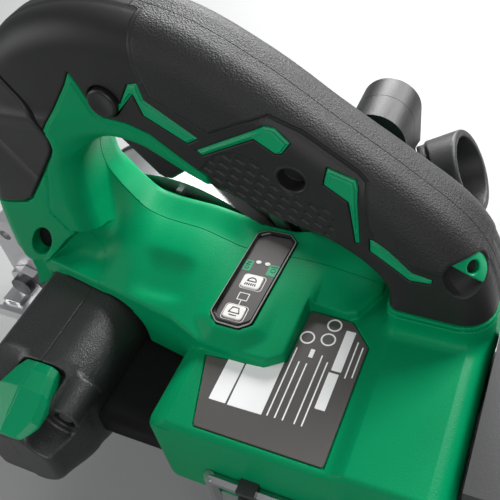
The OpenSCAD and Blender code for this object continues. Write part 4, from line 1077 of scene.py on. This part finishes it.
def pierced(bm, outer, holes, z0, z1):
    """A flat sheet with openings: both faces are filled between the outlines, then joined by walls."""
    rows = []
    for z in (z0, z1):
        rows.append([[bm.verts.new((px * MM, py * MM, z * MM)) for px, py in pts] for pts in (outer, *holes)])
        edges = [bm.edges.new((row[i - 1], row[i])) for row in rows[-1] for i in range(len(row))]
        bmesh.ops.triangle_fill(bm, use_beauty=True, use_dissolve=False, edges=edges, normal=(0, 0, 1))
    for a, b in zip(*rows):
        for i in range(len(a)):
            bm.faces.new((a[i - 1], a[i], b[i], b[i - 1]))


film_foot = 0.05


def film(bm, pts, z, thick=0.1):
    """Printing: a thin sheet whose foot is sunk a little, so that no gap shows."""
    loft(bm, [(pts, z - film_foot), (pts, z + thick)])


def ring_film(bm, pts, width, z, thick=0.1):
    inner = inset(pts, width)
    loft(bm, [(pts, z - film_foot), (pts, z + thick), (inner, z + thick), (inner, z - film_foot)], ring=True)


def stroke(bm, a, b, width, z, thick=0.1):
    a, b = Vector(a), Vector(b)
    side = Vector((a.y - b.y, b.x - a.x)).normalized() * width / 2
    film(bm, [tuple(a + side), tuple(b + side), tuple(b - side), tuple(a - side)], z, thick)


class Crisp:
    """Collect lofts in a 'with' block; the piece is finished at the end of it."""

    def __init__(self, name, look, body="saw"):
        self.name, self.look, self.body, self.bm = name, look, body, bmesh.new()

    def __enter__(self):
        return self.bm

    def __exit__(self, *problem):
        bmesh.ops.recalc_face_normals(self.bm, faces=self.bm.faces)
        mesh = bpy.data.meshes.new(self.name)
        self.bm.to_mesh(mesh)
        self.bm.free()
        mesh.materials.append(looks[self.look])
        piece = bpy.data.objects.new(self.name, mesh)
        scene.collection.objects.link(piece)
        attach(piece, self.body)
        print(self.name, len(mesh.polygons), "faces")


# %% [markdown]
# ## Control panel
# A gloss frame holds a dark film with two keys under it: one for the lamp, one for the mode. The frame is a
# ring of loops that rises, rounds over and falls again; a fine grey line along its outer edge is a painted
# highlight of that polished edge. The keys move, so the film has openings for them.

# %% Panel frame and film
face_z = 76.1
frame_edge = soften([(54.9, 9.8), (59.8, 12.5), (70.7, 12.5), (74.9, 8.7), (72.9, -39.8), (68.4, -43.5),
    (57.8, -43.2), (53.2, -38.6)], 1.4)
face_edge = soften([(56.4, 7.9), (60.4, 10.6), (70.4, 10.7), (73.2, 8.1), (71.6, -38.0), (67.6, -41.2),
    (58.4, -41.0), (55.1, -37.8)], 1.1)
with Crisp("panel_bezel", "gloss_black") as bm:
    loft(bm, [(frame_edge, 68.8), (frame_edge, 77.1), (inset(frame_edge, 0.25), 77.55),
        (inset(frame_edge, 0.7), 77.8), (inset(face_edge, -0.25), 77.65), (face_edge, 77.2),
        (face_edge, 68.8)], ring=True)
# a grey ring on the crown of the frame's outer edge: a painted highlight
with Crisp("panel_edge_highlight", "edge_grey") as bm:
    loft(bm, [(inset(frame_edge, 0.12), 77.5), (inset(frame_edge, 0.3), 77.72),
        (inset(frame_edge, 0.62), 77.86), (inset(frame_edge, 0.62), 77.6)], ring=True)
# x0, x1, y0, y1 of the keys
key_places = {"key_lamp": (59.3, 68.2, -21.5, -14.3), "key_mode": (58.5, 67.5, -38.9, -31.8)}
key_gap = 0.2
openings = [box_outline(x0 - key_gap, x1 + key_gap, y0 - key_gap, y1 + key_gap, 1.7)
    for x0, x1, y0, y1 in key_places.values()]
with Crisp("panel_sheet", "panel_film") as bm:
    pierced(bm, inset(face_edge, -0.1), openings, 75.2, face_z)

# %% Keys
top_z = face_z + 0.72
for name, body in (("key_lamp", "lamp_key"), ("key_mode", "mode_key")):
    edge = box_outline(*key_places[name], 1.6)
    with Crisp(name, "key_white", body) as bm:
        loft(bm, [(edge, 72.0), (edge, face_z + 0.35), (inset(edge, 0.2), face_z + 0.6),
            (inset(edge, 0.5), top_z)])
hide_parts("lamp_button")
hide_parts("mode_button")
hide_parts("panel_frame")
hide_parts("panel_face")

# %% Panel print
def oval(cx, cy, rx, ry, parts):
    turns = np.linspace(0, math.tau, parts, endpoint=False)
    return [(cx + rx * math.cos(t), cy + ry * math.sin(t)) for t in turns]


def strokes(bm, lines, width, z):
    for a, b in lines:
        stroke(bm, a, b, width, z)


with Crisp("icon_lamp", "print_black", "lamp_key") as bm:
    # a lamp's dome with short rays under it
    dome = [(63.7 + 2.3 * math.cos(t), -18.2 + 2.5 * math.sin(t)) for t in np.linspace(0, math.pi, 12)]
    ring_film(bm, dome, 0.5, top_z)
    strokes(bm, [((61.5 + 0.88 * k, -19.1), (61.2 + 0.96 * k, -20.3)) for k in range(6)], 0.5, top_z)
with Crisp("icon_mode", "print_black", "mode_key") as bm:
    ring_film(bm, [(60.4, -36.2), (65.7, -36.2), (64.6, -33.0), (61.5, -33.0)], 0.42, top_z)
    stroke(bm, (61.3, -37.3), (64.8, -37.3), 0.42, top_z)
with Crisp("panel_lines", "print_pale") as bm:
    ring_film(bm, box_outline(58.9, 69.4, -22.2, -13.7, 1.8), 0.32, face_z)
    ring_film(bm, box_outline(57.8, 68.4, -39.7, -31.1, 1.8), 0.32, face_z)
    ring_film(bm, box_outline(60.8, 65.7, -28.4, -24.3), 0.36, face_z)
    stroke(bm, (63.1, -28.4), (63.1, -31.1), 0.36, face_z)
    for cx in (62.1, 66.4):
        film(bm, oval(cx, -6.3, 1.25, 0.95, 20), face_z, 0.3)
with Crisp("panel_greens", "print_green") as bm:
    film(bm, box_outline(56.2, 59.9, -12.1, -6.0, 0.5), face_z)
    film(bm, box_outline(67.7, 72.2, -12.4, -6.2, 0.5), face_z)
with Crisp("panel_marks", "print_dark") as bm:
    # the letters ON, upright to a person at the motor side, and an eye-shaped pictogram
    over = face_z + 0.1
    ring_film(bm, oval(57.9, -10.4, 1.1, 0.9, 16), 0.36, over)
    strokes(bm, [((56.8, -8.7), (59.0, -8.7)), ((56.8, -8.7), (59.0, -7.0)), ((56.8, -7.0), (59.0, -7.0))],
        0.36, over)
    ring_film(bm, circle(70.2, -9.3, 1.2, 16), 0.35, over)
    stroke(bm, (68.4, -7.2), (71.6, -7.2), 0.35, over)

# %% [markdown]
# ## Nameplate
# The plate is a grey foil with bare white fields and rules where a maker would print ratings. It says
# nothing here. It is lofted with a bevelled edge, and the fields are films on top of it.

# %% Nameplate
plate_top = 68.05
name_edge = soften([(57.2, -53.9), (66.3, -84.9), (119.2, -84.9), (119.4, -30.5), (109.9, -20.1),
    (91.1, -19.5), (90.7, -46.9), (83.2, -52.9)], 1.2)
with Crisp("rating_plate", "plate_grey") as bm:
    loft(bm, [(name_edge, 66.9), (name_edge, plate_top - 0.15), (inset(name_edge, 0.15), plate_top)])
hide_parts("nameplate")
with Crisp("plate_blanks", "print_white") as bm:
    film(bm, box_outline(67.0, 74.3, -72.4, -53.0, 0.3), plate_top)
    film(bm, soften([(75.2, -72.6), (89.8, -72.4), (89.6, -47.2), (82.6, -52.3), (75.0, -52.8)], 0.3),
        plate_top)
    film(bm, box_outline(108.7, 112.8, -45.0, -24.8, 0.3), plate_top)
    film(bm, box_outline(108.2, 112.4, -63.2, -46.2, 0.3), plate_top)
# x, y0, y1 of the rules, and half their width
rules = ((92.0, -72, -39), (95.2, -72, -45), (98.4, -72, -45), (103.2, -72, -39.5), (106.2, -72, -42),
    (115.0, -47, -29), (117.6, -46, -31))
half_rule = 0.28
with Crisp("plate_rules", "print_white") as bm:
    for at in ((94.3, -32.9), (103.1, -23.8), (102.9, -31.4)):
        ring_film(bm, circle(*at, 3.2), 0.7, plate_top)
    film(bm, box_outline(97.8, 99.6, -41.9, -37.8), plate_top)
    for at, y0, y1 in rules:
        film(bm, box_outline(at - half_rule, at + half_rule, y0, y1), plate_top)
print("nameplate and panel made")

# %% [markdown]
# ## Finish of the frame's own pieces
# Pieces that stay as the frame has them, such as the blade, the guard and the sole, get their finish here.
# The record says what each is made of, so a table from that word to a finish is enough. Metals differ in
# tint and in how far the grinding spreads a highlight, which is their roughness.

# %% Finish
# slot of the record, its finish: name, colour, roughness
metals = {"steel": ("machined_steel", (0.5, 0.5, 0.51), 0.32),
    "dark_steel": ("blued_steel", (0.13, 0.13, 0.135), 0.4),
    "plate": ("plate_metal", (0.72, 0.72, 0.73), 0.34),
    "aluminium": ("cast_metal", (0.6, 0.6, 0.61), 0.42),
    "blade": ("blade_metal", (0.55, 0.56, 0.58), 0.28)}
plastics = {"black_plastic": ("moulded_black", (0.018, 0.018, 0.019), 0.4),
    "black_textured": ("textured_black", (0.025, 0.025, 0.026), 0.45),
    "dark_grey": ("moulded_grey", (0.06, 0.06, 0.062), 0.4),
    "panel_grey": ("panel_grey", (0.09, 0.085, 0.085), 0.4),
    "button_grey": ("key_grey", (0.62, 0.62, 0.6), 0.4),
    "lamp_green": ("lamp_green", (0.42, 0.47, 0.43), 0.35),
    "clear_lens": ("lamp_lens", (0.8, 0.82, 0.85), 0.1),
    "board": ("circuit_board", (0.03, 0.14, 0.07), 0.4)}
finish_of = {"black_gloss": "gloss_black", "green_plastic": "green_shell", "soft_grip": "grip_rubber",
    "cover_black": "cover_black", "copper": "winding"}
moulded("winding", (0.5, 0.24, 0.1), 0.4, 900.0, 0.00003, metal=0.8)
for slot, (name, base, rough) in metals.items():
    finish_of[slot] = name
    moulded(name, base, rough, 900.0, 0.00003, metal=1.0)
for slot, (name, base, rough) in plastics.items():
    finish_of[slot] = name
    moulded(name, base, rough, 1500.0, 0.00004)
slots = {p["node"]: p["material_slot"] for p in frame["record"]["subparts"]}
slots["dust_chamber"] = slots["dust_cover"] = "cover_black"
slots["depth_pivot_pin"] = "dark_steel"
for name, obj in nodes.items():
    finish = looks[finish_of[slots[name]]]
    if not obj.material_slots:
        obj.data.materials.append(finish)
    for slot in obj.material_slots:
        slot.material = finish
print(len(nodes), "CAD pieces finished with", len(set(slots.values())), "materials")

# %% [markdown]
# ## Floor
# The floor keeps the tool's shadow and turns transparent farther out, so that no horizon cuts the picture. A
# Mix Shader with a Transparent node does that, steered by the distance from the tool.

# %% Floor
def fading_floor(base, near, far):
    """A pale floor that keeps the shadows and fades into the backdrop between two distances from the tool."""
    mat = material("floor_white", base, 0.6)
    tree = mat.node_tree
    v = Value(tree, None)
    place = v.node("ShaderNodeTexCoord", out=3)
    away = v.node("ShaderNodeVectorMath", {"operation": "LENGTH"}, {0: place}, out=1)
    fade = v.node("ShaderNodeMapRange", {"interpolation_type": "SMOOTHSTEP"},
        {"Value": away, "From Min": near, "From Max": far})
    pale = Value(tree, tree.nodes["Principled BSDF"].outputs[0])
    both = v.node("ShaderNodeMixShader", None, {0: fade, 1: pale, 2: v.node("ShaderNodeBsdfTransparent")})
    tree.links.new(both.socket, tree.nodes["Material Output"].inputs["Surface"])
    return mat


bm = bmesh.new()
bmesh.ops.create_grid(bm, x_segments=12, y_segments=12, size=3.0)
mesh = bpy.data.meshes.new("floor_sheet")
bm.to_mesh(mesh)
bm.free()
floor = bpy.data.objects.new("floor_sheet", mesh)
floor_gap = 0.0005     # keeps the sole clear of the sheet
floor.location.z = cad_box[0][2] - floor_gap
mesh.materials.append(fading_floor((0.33, 0.33, 0.33), 0.45, 1.3))
scene.collection.objects.link(floor)
print("floor at", round(floor.location.z, 4))

# %% [markdown]
# ## Sizes
